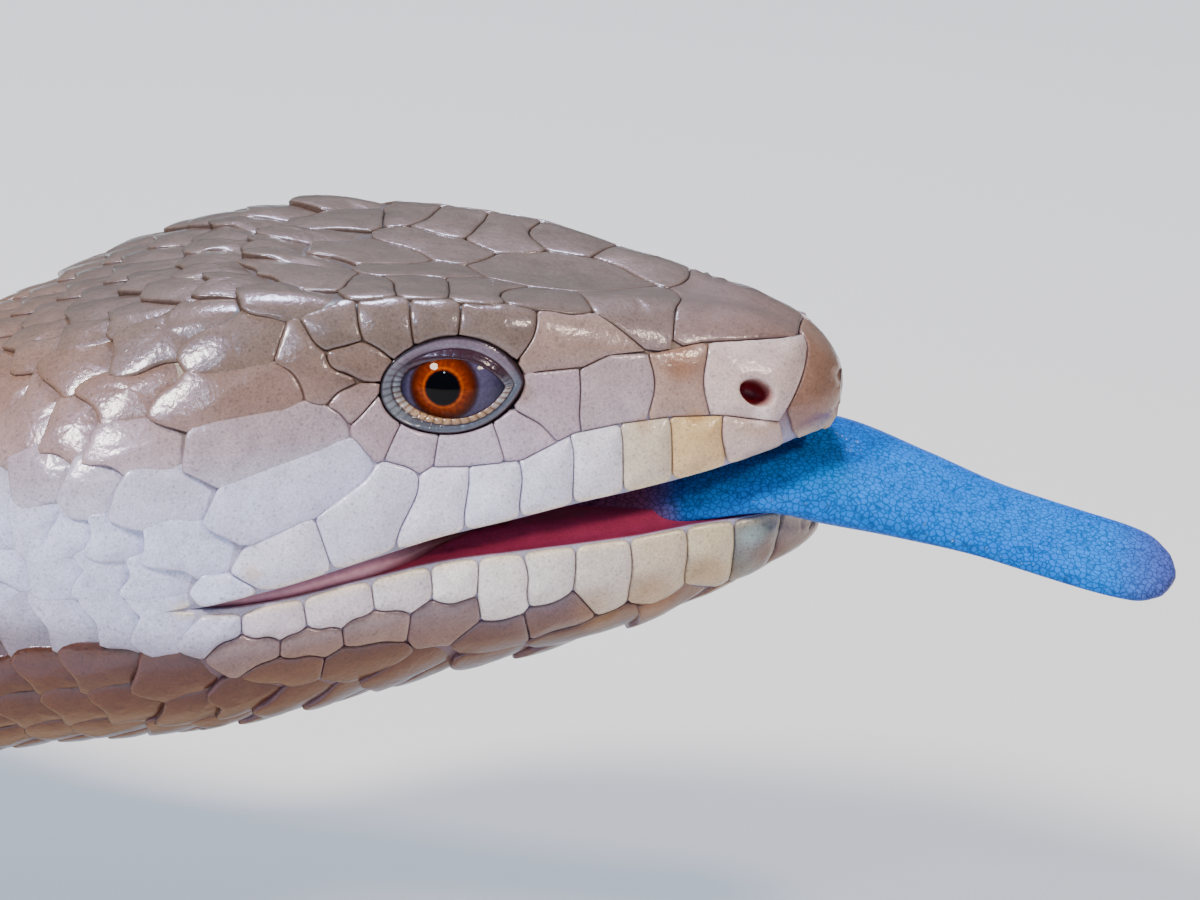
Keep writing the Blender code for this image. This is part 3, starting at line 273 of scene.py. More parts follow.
@dataclass
class AnimalForm:
    """The smooth outer form of the animal, by stations along its spine."""

    upper: Callable = field(init=False)
    lower: Callable = field(init=False)
    _steps: np.ndarray = field(init=False)
    _plan: np.ndarray = field(init=False)

    def __post_init__(self) -> None:
        """Works out the tracks along the spine."""
        tip = UPPER_TIP
        rows = [(0.0, tip, tip, 0.0, tip, 0.0, tip, 0.0, tip)]
        rows += [(math.sqrt(SNOUT - r[0]), *r[1:]) for r in UPPER_ROWS]
        rows += [(math.sqrt(SNOUT + r[0]), r[2], *self.section_keys(*r[1:])) for r in BODY_ROWS]
        self.upper = smooth_track([r[0] for r in rows], [r[1:] for r in rows])
        rows = [(0.0, 0.0, LOWER_TIP, LOWER_TIP)]
        rows += [(math.sqrt(CHIN - r[0]), *r[1:]) for r in LOWER_ROWS]
        rows += [(math.sqrt(CHIN + r[0]), *self.section_keys(*r[1:])[5:], r[3]) for r in BODY_ROWS]
        self.lower = smooth_track([r[0] for r in rows], [r[1:] for r in rows])
        track = smooth_track(*zip(*HEADING_ROWS))
        self._steps = np.arange(-SNOUT - 1.0, TAIL_END + 2.0, SPINE_STEP)
        angle = np.radians(track(self._steps)[:, 0])
        x, y = -np.cumsum(np.cos(angle)) * SPINE_STEP, np.cumsum(np.sin(angle)) * SPINE_STEP
        x -= np.interp(0.0, self._steps, x)
        y -= np.interp(0.0, self._steps, y)
        self._plan = np.array([x, y, angle])

    @staticmethod
    def section_keys(half_width: float, top: float, under: float) -> tuple[float, ...]:
        """Key heights and reaches of a body section: crown, brow, side and widest place."""
        depth = top - under
        return (
            top - CROWN_DROP * depth,
            BROW_SHARE[0] * half_width, top - BROW_SHARE[1] * depth,
            SIDE_SHARE[0] * half_width, top - SIDE_SHARE[1] * depth,
            half_width, top - WIDEST_DROP * depth,
        )

    def in_place(self, behind: np.ndarray, across: np.ndarray, height: np.ndarray) -> np.ndarray:
        """The point this far behind the eyes along the spine, to its left, and above the eyes."""
        x, y, angle = (np.interp(behind, self._steps, row) for row in self._plan)
        return np.stack([x + across * np.sin(angle), y + across * np.cos(angle), height + 0 * x], axis=-1)

    def rearwards(self, behind: float) -> np.ndarray:
        """The level direction towards the tail at a station."""
        angle = float(np.interp(behind, self._steps, self._plan[2]))
        return np.array([-math.cos(angle), math.sin(angle), 0.0])

    def upper_values(self, behind: float) -> np.ndarray:
        """The upper track at a station."""
        return self.upper(math.sqrt(max(SNOUT + behind, 0.0)))[0]

    def lower_values(self, behind: float) -> np.ndarray:
        """The lower track at a station."""
        return self.lower(math.sqrt(max(CHIN + behind, 0.0)))[0]

    def lips(self, behind: float) -> tuple[np.ndarray, np.ndarray]:
        """Reach and height of the upper and the lower lip, joined behind the corner of the mouth."""
        upper, lower = self.upper_values(behind)[6:8], self.lower_values(behind)[0:2]
        share = float(ramp(behind, MOUTH_CORNER - LIPS_JOIN, MOUTH_CORNER))
        middle = (upper + lower) / 2
        return upper + (middle - upper) * share, lower + (middle - lower) * share

    def lower_keys(self, behind: float) -> list[tuple[float, float]]:
        """Key points below the lip line."""
        bottom = float(self.lower_values(behind)[2])
        y, z = self.lips(behind)[1]
        keys = [(y, z)] + [(y * across, z - (z - bottom) * down) for across, down in (JAW_SHARE, UNDER_SHARE)]
        return [*keys, (0.0, bottom)]

    def upper_half(self, behind: float, shares: np.ndarray) -> np.ndarray:
        """The section from the back (0) to the lip (4), as reach and height."""
        top, crown, by, bz, cy, cz = self.upper_values(behind)[:6]
        lip, below = self.lips(behind)[0], self.lower_keys(behind)[1]
        wide = CROWN_SHARE * by
        keys = np.array([(-wide, crown), (0, top), (wide, crown), (by, bz), (cy, cz), tuple(lip), below])
        return through(keys, shares)

    def lower_half(self, behind: float, shares: np.ndarray) -> np.ndarray:
        """The section from the lip (0) to the underside (3), as reach and height."""
        cheek = tuple(self.upper_values(behind)[4:6])
        keys = self.lower_keys(behind)
        return through(np.array([cheek, *keys, (-keys[2][0], keys[2][1])]), shares)

    def around(self, behind: float, turns: np.ndarray) -> np.ndarray:
        """Points round a section of the body, for turns from 0 at the back over the right side and under to 1.

        Args:
            behind: distance behind the eyes.
            turns: places round the section, evenly spaced along its outline.

        Returns:
            Points in millimetres.
        """
        half = np.concatenate([
            self.upper_half(behind, np.linspace(0, 4, 41)), self.lower_half(behind, np.linspace(0, 3, 31))[1:]])
        length = running_length(half)
        turns = np.mod(turns, 1.0)
        share = np.where(turns <= 0.5, turns * 2, 2 - turns * 2) * length[-1]
        across = np.interp(share, length, half[:, 0]) * np.where(turns <= 0.5, -1.0, 1.0)
        height = np.maximum(np.interp(share, length, half[:, 1]), SOLE)
        return self.in_place(np.full(len(turns), float(behind)), across, height)

    def girth(self, behind: float) -> float:
        """The length round a section."""
        ring = self.around(behind, np.linspace(0, 1, 73)[:-1])
        return float(np.linalg.norm(ring - np.roll(ring, 1, axis=0), axis=1).sum())


class Surface:
    """A mesh to project on, which gives smooth points and normals."""

    ROUNDNESS = 0.75

    def __init__(self, points: np.ndarray, triangles: np.ndarray) -> None:
        """Keeps the mesh with a search tree.

        Args:
            points: its points in millimetres.
            triangles: its triangles.
        """
        self.points, self.triangles = points, triangles
        corners = points[triangles]
        area = np.cross(corners[:, 1] - corners[:, 0], corners[:, 2] - corners[:, 0])
        self.normals = np.zeros_like(points)
        for k in range(3):
            np.add.at(self.normals, triangles[:, k], area)
        self.normals = units(self.normals)
        self.tree = BVHTree.FromPolygons(points.tolist(), triangles.tolist())

    def raw(self, places: np.ndarray) -> np.ndarray:
        """The nearest flat points of the mesh."""
        return np.array([self.tree.find_nearest(p)[0] for p in places.tolist()])

    def nearest(self, places: np.ndarray) -> tuple[np.ndarray, np.ndarray]:
        """The nearest points on the smooth surface, with the normals there."""
        found = [self.tree.find_nearest(p) for p in places.tolist()]
        spots = np.array([f[0] for f in found])
        face = self.triangles[[f[2] for f in found]]
        a, b, c = (self.points[face[:, k]] for k in range(3))
        v0, v1, v2 = b - a, c - a, spots - a
        d00, d01, d11 = (v0 * v0).sum(1), (v0 * v1).sum(1), (v1 * v1).sum(1)
        d20, d21 = (v2 * v0).sum(1), (v2 * v1).sum(1)
        bottom = np.maximum(d00 * d11 - d01 * d01, 1e-12)
        w1 = np.clip((d11 * d20 - d01 * d21) / bottom, 0, 1)
        w2 = np.clip((d00 * d21 - d01 * d20) / bottom, 0, 1)
        weights = np.stack([1 - w1 - w2, w1, w2], axis=1)
        normals = units(sum(weights[:, k:k + 1] * self.normals[face[:, k]] for k in range(3)))
        bulge = np.zeros_like(spots)
        for k, corner in enumerate((a, b, c)):
            own = self.normals[face[:, k]]
            bulge -= weights[:, k:k + 1] * ((spots - corner) * own).sum(1, keepdims=True) * own
        return spots + self.ROUNDNESS * bulge, normals

    def cast(self, start: np.ndarray, direction: np.ndarray) -> np.ndarray | None:
        """Where a ray first meets the mesh, if it does."""
        found = self.tree.ray_cast(Vector(start), Vector(direction))[0]
        return None if found is None else np.array(found)


def seen_from(azimuth: float, elevation: float) -> tuple[float, float, float]:
    """The way towards a place round the animal's right side, from its azimuth and elevation in degrees."""
    turn, rise = math.radians(azimuth), math.radians(elevation)
    return math.sin(turn) * math.cos(rise), -math.cos(turn) * math.cos(rise), math.sin(rise)


@dataclass(frozen=True)
class Viewpoint:
    """Where the photograph was taken from, and the camera that stands there."""

    azimuth: float = 6.0
    elevation: float = 17.0
    distance: float = 380.0
    eye_spot: tuple[float, float, float] = (0.2, -13.5, 0.0)
    sensor: float = 36.0

    def axes(self) -> tuple[np.ndarray, np.ndarray, np.ndarray]:
        """Right, up and towards the camera."""
        turn = math.radians(self.azimuth)
        right = np.array([math.cos(turn), math.sin(turn), 0.0])
        toward = np.array(seen_from(self.azimuth, self.elevation))
        return right, np.cross(toward, right), toward

    def spot(self, h: float, v: float) -> np.ndarray:
        """The place this far right of and above the iris in the plane of the eye."""
        right, up, _ = self.axes()
        return np.array(self.eye_spot) + h * right + v * up

    def place(self) -> np.ndarray:
        """Where the camera stands."""
        h = (FRAME_PIXELS[0] / 2 - IRIS_PIXEL[0]) / PIXELS_PER_MM
        v = (IRIS_PIXEL[1] - FRAME_PIXELS[1] / 2) / PIXELS_PER_MM
        return self.spot(h, v) + self.distance * self.axes()[2]

    def ray(self, h: float, v: float) -> tuple[np.ndarray, np.ndarray]:
        """Start and direction of the line of sight through a place in the plane of the eye."""
        return self.place(), unit(self.spot(h, v) - self.place())

    def seen(self, points: np.ndarray) -> tuple[np.ndarray, np.ndarray]:
        """Right of and above the iris, where points show in the plane of the eye."""
        right, up, toward = self.axes()
        start = self.place()
        base = start - np.array(self.eye_spot)
        away = points - start
        scale = self.distance / -(away @ toward)
        return base @ right + away @ right * scale, base @ up + away @ up * scale

    def make_camera(self) -> bpy.types.Object:
        """The camera, with the photograph's framing."""
        data = bpy.data.cameras.new("photo_camera")
        data.sensor_width = self.sensor
        data.lens = self.sensor * self.distance * PIXELS_PER_MM / FRAME_PIXELS[0]
        data.clip_start, data.clip_end = 0.01, 20.0
        camera = linked("photo_camera", data)
        camera.location = placed(self.place())
        camera.rotation_mode = "QUATERNION"
        camera.rotation_quaternion = Vector(-self.axes()[2]).to_track_quat("-Z", "Y")
        bpy.context.scene.camera = camera
        return camera


# Finishes

@dataclass(frozen=True)
class HideColours:
    """The colours of the hide as it looks on the animal, with painted shade under the jaw, in the mouth, the nostrils
    and the ears, and a painted bluish sheen on the cheeks.
    """

    crown: str = "#675B56"
    temple: str = "#7C6255"
    mauve: str = "#9A8890"
    # lavender, with a painted bluish sheen of the sky in it
    cheek: str = "#C2CCF4"
    # brown under the jaw, darkened as painted shade
    throat: str = "#4A2A16"
    gular: str = "#5C3E28"
    snout: str = "#70584E"
    lip_edge: str = "#E2D6B4"
    seam_dark: str = "#3A2820"
    seam_light: str = "#6E5C78"
    back: str = "#94734E"
    band: str = "#3E2B1F"
    flank: str = "#A8663A"
    belly: str = "#CDBFA2"
    leg: str = "#6B5240"
    leg_spot: str = "#B59A78"
    # Inside the mouth: the palate's dark purple is partly painted shade under the upper lip, the floor is pink, and the
    # dark maroon is painted shade deep in the mouth.
    palate: str = "#6A3A5A"
    mouth_floor: str = "#B53A6A"
    mouth_deep: str = "#4A0A1C"
    # the nostril's red lining, darkened down the hole as painted shade
    nostril: str = "#70121F"
    fold: str = "#A8788E"
    # painted shade in the ear opening
    ear: str = "#35202A"


HIDE = HideColours()
TINTS = {
    "rostral": "#80614E", "nasal": "#C8B6B6", "front_loreal": "#94765F", "rear_loreal": "#9C8C94",
    "preocular": "#A796A6", "brow_front": "#8F7A74", "upper_lip_1": "#B49C90", "upper_lip_2": "#CDAA58",
    "upper_lip_3": "#C6B99C", "upper_lip_4": "#D0D2E4", "upper_lip_5": "#CED2F0", "upper_lip_6": "#CED4F2",
    "upper_lip_7": "#D4D6F2", "upper_lip_8": "#CACCEC", "upper_lip_9": "#CCCEEC", "sub_ocular_1": "#988894",
    "sub_ocular_2": "#AEA2B8", "sub_ocular_3": "#B0A6BE", "sub_ocular_4": "#B0A0B4",
    "mental": "#6E5C40", "lower_lip_1": "#5E6450", "lower_lip_2": "#C2B68C", "lower_lip_3": "#BDAE90",
    "lower_lip_4": "#C6BEB4", "lower_lip_5": "#CCC8C8", "lower_lip_6": "#DCD8DC", "lower_lip_7": "#E2DFE4",
    "lower_lip_8": "#CCC6CE", "lower_lip_9": "#C8C0CC", "lower_lip_10": "#C4BACA",
    # the chin shields' brown, darkened as painted shade under the jaw
    "chin_side_1": "#523420", "chin_side_2": "#644630", "chin_side_3": "#785C48", "chin_side_4": "#7A6258",
    "chin_side_5": "#7C6868", "chin_side_6": "#4A2E1A", "chin_side_7": "#4E3320", "chin_side_8": "#563A28",
    "chin_1": "#4E301A", "chin_2": "#462A16", "chin_3": "#402614", "chin_4": "#402614", "chin_5": "#462A16",
}

# Local colours on the side of the head, stains and one painted shade: what, right of and above the iris, how far it
# spreads, hue and strength.
STAINS_AND_SHADE = (
    ("amber dip of the front loreal", 14.9, 1.6, 1.6, "#7A4A18", 0.6),
    ("amber notch over the second upper lip shield", 15.8, -1.9, 0.9, "#9A7428", 0.5),
    ("amber notch under the loreals", 12.6, -2.3, 0.9, "#987430", 0.4),
    ("golden foot of the second lower lip shield", 16.6, -11.8, 2.2, "#8A6428", 0.5),
    ("golden foot of the third lower lip shield", 13.2, -13.2, 2.4, "#8A6428", 0.5),
    ("golden foot of the fourth lower lip shield", 9.8, -13.8, 2.2, "#92703C", 0.4),
    ("slate face of the first lower lip shield", 19.4, -9.2, 1.1, "#8FB4BE", 0.35),
    ("brown front of the chin", 20.6, -10.6, 1.8, "#4A2A12", 0.8),
    ("pale rim under the nostril", 19.9, -1.7, 0.9, "#F2E8EC", 0.7),
    ("cream spot at the corner of the mouth", -11.9, -11.6, 0.8, "#C4AC74", 0.5),
    ("olive front corner of the eye", 4.9, -0.2, 1.2, "#6E5A30", 0.5),
    # painted shade in the hollow behind the eye
    ("dark hollow behind the eye", -5.6, 0.6, 1.5, "#4A3A2C", 0.45),
)


@dataclass(frozen=True)
class ScaleFinish:
    """Smooth skink keratin: a thin clear horn layer over coloured hide, wet looking, with a faint sheen of
    blue and violet where light glances off it."""

    name: str
    roughness: float = 0.34
    coat: float = 0.75
    coat_roughness: float = 0.16
    mottle_mm: float = 1.6
    grain_mm: float = 0.14
    fleck_mm: float = 0.42       # real flecks are about 0.1 mm apart; drawn coarser so that they show
    crease_mm: float = 0.30      # fine creases that break up the shine
    bump_mm: float = 0.035
    film_nm: float = 330.0
    fleck: float = 0.24
    subsurface: float = 0.06


@dataclass(frozen=True)
class WetFinish:
    """Wet living tissue, such as the tongue and the lining of the mouth: soft light inside, sharp glints outside."""

    name: str
    roughness: float = 0.28
    coat: float = 0.9
    coat_roughness: float = 0.08
    grain_mm: float = 0.5
    bump_mm: float = 0.05
    subsurface: float = 0.12
    specular: float = 0.4
    papilla_mm: float = 0.0      # size of the small bumps that cover it, if any


SCALE_FINISHES = (
    ScaleFinish("skink_keratin_head"),
    ScaleFinish("skink_keratin_body", roughness=0.46, coat=0.28, coat_roughness=0.32, crease_mm=0.5, film_nm=0.0,
                fleck=0.1),
    ScaleFinish("hide_between_scales", roughness=0.5, coat=0.25, coat_roughness=0.3, film_nm=0.0, fleck=0.05),
    ScaleFinish("lid_scales", mottle_mm=0.8, fleck=0.05),
)
WET_FINISHES = (
    WetFinish("mouth_lining"),
    WetFinish("tongue_papillae", roughness=0.5, coat=0.3, coat_roughness=0.07, grain_mm=0.8, bump_mm=0.01,
              specular=0.06, subsurface=0.0, papilla_mm=0.38),
)


def node(tree: bpy.types.NodeTree, kind: str, links: dict | None = None, **settings: object) -> bpy.types.Node:
    """Adds a node with its settings and links.

    Args:
        tree: the tree that it is added to.
        kind: the node's type name.
        links: for each input, by name or number, a value or an output socket.
        settings: properties of the node.

    Returns:
        The new node.
    """
    made = tree.nodes.new(kind)
    for key, value in settings.items():
        setattr(made, key, value)
    for key, value in (links or {}).items():
        socket = made.inputs[key]
        if isinstance(value, bpy.types.NodeSocket):
            tree.links.new(value, socket)
        else:
            socket.default_value = value
    return made


def per_mm(size: float) -> float:
    """The noise scale on Object coordinates, in metres, for patches of a size in millimetres."""
    return 1.0 / (size * MM)


class Recipe:
    """A material as it is put together: its tree, its Principled shader and the parts that several finishes share."""

    def __init__(self, name: str) -> None:
        """Starts a material of this name."""
        self.material = bpy.data.materials.new(name)
        self.material.use_nodes = True
        self.tree = self.material.node_tree
        self.shader = self.tree.nodes["Principled BSDF"]

    @cached_property
    def place(self) -> bpy.types.NodeSocket:
        """The place on the piece."""
        return node(self.tree, "ShaderNodeTexCoord").outputs["Object"]

    @cached_property
    def hue(self) -> bpy.types.NodeSocket:
        """The piece's own colour there."""
        return node(self.tree, "ShaderNodeAttribute", attribute_name=HUE).outputs["Color"]

    def patches(self, size: float, detail: float, **more: float) -> bpy.types.NodeSocket:
        """Noise in patches of about this size in millimetres."""
        made = node(self.tree, "ShaderNodeTexNoise",
                    {"Vector": self.place, "Scale": per_mm(size), "Detail": detail, **more})
        return made.outputs["Fac"]

    def cells(self, size: float, **settings: str) -> bpy.types.NodeSocket:
        """Distances within cells of about this size in millimetres."""
        made = node(self.tree, "ShaderNodeTexVoronoi", {"Vector": self.place, "Scale": per_mm(size)}, **settings)
        return made.outputs["Distance"]

    def remapped(self, value: bpy.types.NodeSocket, low: float, high: float, start: float = 0.3, end: float = 0.7,
                 **settings: str) -> bpy.types.NodeSocket:
        """A value from start to end turned into one from low to high."""
        made = node(self.tree, "ShaderNodeMapRange", {"Value": value, "From Min": start, "From Max": end,
                                                      "To Min": low, "To Max": high}, **settings)
        return made.outputs["Result"]

    def product(self, a: bpy.types.NodeSocket, b: bpy.types.NodeSocket) -> bpy.types.NodeSocket:
        """Two values multiplied."""
        return node(self.tree, "ShaderNodeMath", {0: a, 1: b}, operation="MULTIPLY").outputs[0]

    def toned(self, colour: bpy.types.NodeSocket, tone: bpy.types.NodeSocket) -> bpy.types.NodeSocket:
        """A colour made lighter or darker."""
        return node(self.tree, "ShaderNodeVectorMath", {0: colour, "Scale": tone}, operation="SCALE").outputs[0]

    def bump(self, height: bpy.types.NodeSocket, strength: float, depth: float,
             **more: bpy.types.NodeSocket) -> bpy.types.NodeSocket:
        """A relief of a depth in millimetres."""
        made = node(self.tree, "ShaderNodeBump",
                    {"Height": height, "Strength": strength, "Distance": depth * MM, **more})
        return made.outputs["Normal"]

    def done(self, links: dict[str, bpy.types.NodeSocket] | None = None, **values: object) -> bpy.types.Material:
        """Sets the shader's links, and its constants by name with underscores for spaces."""
        for key, socket in (links or {}).items():
            self.tree.links.new(socket, self.shader.inputs[key])
        for key, value in values.items():
            self.shader.inputs[key.replace("_", " ")].default_value = value
        return self.material


def scale_material(finish: ScaleFinish) -> bpy.types.Material:
    """Keratin scales whose base colour is the piece's own hue, mottled, flecked and finely creased."""
    recipe = Recipe(finish.name)
    mottle = recipe.patches(finish.mottle_mm, 5.0, Roughness=0.62)
    tone = recipe.product(recipe.remapped(mottle, 0.86, 1.12),
                          recipe.remapped(recipe.cells(finish.fleck_mm), 1.0 - finish.fleck, 1.0, 0.12, 0.34))
    tone = recipe.product(tone, recipe.remapped(recipe.patches(finish.grain_mm, 2.0), 0.8, 1.16))
    swell = recipe.bump(recipe.patches(finish.crease_mm * 4, 2.0), 0.5, finish.bump_mm * 3)
    relief = recipe.bump(recipe.patches(finish.crease_mm, 3.0, Distortion=0.6), 0.6, finish.bump_mm, Normal=swell)
    shine = recipe.remapped(mottle, finish.roughness - 0.08, finish.roughness + 0.1, 0.0, 1.0)
    return recipe.done(
        {"Base Color": recipe.toned(recipe.hue, tone), "Normal": relief, "Coat Normal": relief, "Roughness": shine},
        IOR=1.5, Coat_Weight=finish.coat, Coat_Roughness=finish.coat_roughness, Coat_IOR=1.5,
        Thin_Film_Thickness=finish.film_nm, Thin_Film_IOR=1.38, Subsurface_Weight=finish.subsurface,
        Subsurface_Radius=(1.0, 0.45, 0.3), Subsurface_Scale=0.6 * MM)


def wet_material(finish: WetFinish) -> bpy.types.Material:
    """Wet tissue whose base colour is the piece's own hue."""
    recipe = Recipe(finish.name)
    grain = recipe.patches(finish.grain_mm, 4.0)
    base = recipe.toned(recipe.hue, recipe.remapped(grain, 0.85, 1.12))
    relief = recipe.bump(grain, 0.5, finish.bump_mm)
    if finish.papilla_mm:
        edge = recipe.cells(finish.papilla_mm, feature="DISTANCE_TO_EDGE")
        raised = recipe.remapped(edge, 0.0, 1.0, 0.0, 0.16, interpolation_type="SMOOTHSTEP")
        # darker in the grooves between the papillae: painted shade
        base = recipe.toned(base, recipe.remapped(raised, 0.5, 1.08, 0.0, 1.0))
        relief = recipe.bump(raised, 0.3, finish.papilla_mm * 0.2, Normal=relief)
    return recipe.done(
        {"Base Color": base, "Normal": relief, "Coat Normal": relief},
        Roughness=finish.roughness, IOR=1.4, Specular_IOR_Level=finish.specular, Coat_Weight=finish.coat,
        Coat_Roughness=finish.coat_roughness, Coat_IOR=1.34, Subsurface_Weight=finish.subsurface,
        Subsurface_Radius=(1.0, 0.4, 0.3), Subsurface_Scale=0.8 * MM)


def horn_material() -> bpy.types.Material:
    """Claw horn: dark brown mottled with a lighter brown, polished by walking."""
    recipe = Recipe("claw_horn")
    tone = node(recipe.tree, "ShaderNodeValToRGB", {"Fac": recipe.patches(0.7, 4.0)})
    for stop, code in zip(tone.color_ramp.elements, ("#2A1C14", "#8A6A4C")):
        stop.color = (*linear(code), 1)
    return recipe.done({"Base Color": tone.outputs["Color"]}, Roughness=0.3, IOR=1.55, Coat_Weight=0.3,
                       Coat_Roughness=0.15)


def eye_material() -> bpy.types.Material:
    """A living eye: coloured within and covered by a clear wet cornea, so that it mirrors the lamps sharply."""
    recipe = Recipe("eye_under_wet_cornea")
    base = recipe.toned(recipe.hue, recipe.remapped(recipe.patches(0.25, 3.0), 0.8, 1.2))
    return recipe.done({"Base Color": base}, Roughness=0.5, Specular_IOR_Level=0.0, Coat_Weight=1.0,
                       Coat_Roughness=0.015, Coat_IOR=1.22)


# Making objects

def add_object(name: str, points: np.ndarray, faces: Iterable[Sequence[int]], material: bpy.types.Material,
               hue: np.ndarray | None = None, uv: np.ndarray | None = None,
               closed: bool = False) -> bpy.types.Object:
    """A smooth mesh object from millimetre points, with its hue and unwrap on its points.

    Args:
        name: the piece's name.
        points: points in millimetres of the form.
        faces: corner numbers of each face.
        material: its finish.
        hue: a linear colour for each point.
        uv: a place on the unwrap for each point.
        closed: whether it is a closed mesh, whose faces are turned outwards.

    Returns:
        The object, at the origin, with its place in its mesh.
    """
    mesh = bpy.data.meshes.new(name)
    mesh.from_pydata(placed(points).tolist(), [], [tuple(f) for f in faces])
    mesh.materials.append(material)
    if hue is not None:
        write_hue(mesh, hue)
    if uv is not None:
        unwrap_by_points(mesh, uv)
    mesh.update()
    mesh.shade_smooth()
    made = linked(name, mesh)
    if closed:
        face_outwards(made)
    return made


def linked(name: str, data: bpy.types.ID) -> bpy.types.Object:
    """A new object in the scene with this data."""
    made = bpy.data.objects.new(name, data)
    bpy.context.scene.collection.objects.link(made)
    return made


UNWRAP_PATCH = 0.003         # size of one small scale on the unwrap
VALUE_PARTS = {"FLOAT": ("value", 1), "FLOAT_VECTOR": ("vector", 3), "FLOAT_COLOR": ("color", 4)}


def write_values(mesh: bpy.types.Mesh, key: str, kind: str, rows: Sequence) -> None:
    """Keeps a value for each point of a mesh."""
    flat = np.asarray(rows, np.float32).ravel()
    mesh.attributes.new(key, kind, "POINT").data.foreach_set(VALUE_PARTS[kind][0], flat)


def write_hue(mesh: bpy.types.Mesh, hue: np.ndarray) -> None:
    """Keeps a linear colour for each point of a mesh."""
    write_values(mesh, HUE, "FLOAT_COLOR", np.concatenate([hue, np.ones((len(hue), 1))], axis=1))


def read_values(mesh: bpy.types.Mesh, key: str) -> np.ndarray:
    """The values kept for the points of a mesh, one row for each."""
    kept = mesh.attributes[key]
    part, width = VALUE_PARTS[kept.data_type]
    flat = np.empty(len(mesh.vertices) * width, np.float32)
    kept.data.foreach_get(part, flat)
    return flat.reshape(-1, width)


def unwrap_by_points(mesh: bpy.types.Mesh, places: np.ndarray) -> None:
    """Gives a mesh its unwrap from a place for each point."""
    corners = np.empty(len(mesh.loops), np.int32)
    mesh.loops.foreach_get("vertex_index", corners)
    layer = mesh.uv_layers.new(name=UV_NAME)
    layer.data.foreach_set("uv", np.asarray(places, np.float32)[corners].ravel())


def evaluated_mesh(made: bpy.types.Object) -> bpy.types.Mesh:
    """An object's mesh as its modifiers leave it."""
    graph = bpy.context.evaluated_depsgraph_get()
    return bpy.data.meshes.new_from_object(made.evaluated_get(graph), depsgraph=graph)


def loft_faces(rings: int, count: int, start: int = 0) -> list[tuple[int, ...]]:
    """Quads between closed rings of equal length that follow one another from a first point number."""
    faces = []
    for a in range(start, start + (rings - 1) * count, count):
        for i in range(count):
            j = (i + 1) % count
            faces.append((a + i, a + j, a + count + j, a + count + i))
    return faces


def fan(first: int, count: int, tip: int) -> list[tuple[int, int, int]]:
    """Triangles from a ring to one point."""
    return [(first + i, first + (i + 1) % count, tip) for i in range(count)]


def capped_loft(rings: int, count: int) -> list[tuple[int, ...]]:
    """A loft closed by two points after its rings: the first ring's, then the last ring's."""
    front, end = rings * count, (rings - 1) * count
    faces = loft_faces(rings, count)
    faces += [(i, front, (i + 1) % count) for i in range(count)]
    return faces + [(end + (i + 1) % count, front + 1, end + i) for i in range(count)]


def face_outwards(made: bpy.types.Object, drop_loose: bool = False) -> None:
    """Turns the faces of a closed mesh outwards, and can remove points that no face uses."""
    work = bmesh.new()
    work.from_mesh(made.data)
    if drop_loose:
        bmesh.ops.delete(work, geom=[v for v in work.verts if not v.link_faces], context="VERTS")
    bmesh.ops.recalc_face_normals(work, faces=work.faces)
    work.to_mesh(made.data)
    work.free()


def outward_surface(points: np.ndarray, faces: list) -> Surface:
    """A surface whose normals point out of a closed mesh."""
    triangles = triangulated(faces)
    corners = points[triangles]
    volume = (corners[:, 0] * np.cross(corners[:, 1], corners[:, 2])).sum()
    return Surface(points, triangles if volume > 0 else triangles[:, ::-1])


def ready(piece: bpy.types.Object, slot: str, *nodes: str) -> bpy.types.Object:
    """Lets a piece ride on the model's one body in place of CAD nodes."""
    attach(piece, ROOT)
    if nodes:
        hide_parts(*nodes)
    LOG.info("%s: %d points, %d faces", piece.name, len(piece.data.vertices), len(piece.data.polygons))
    return piece


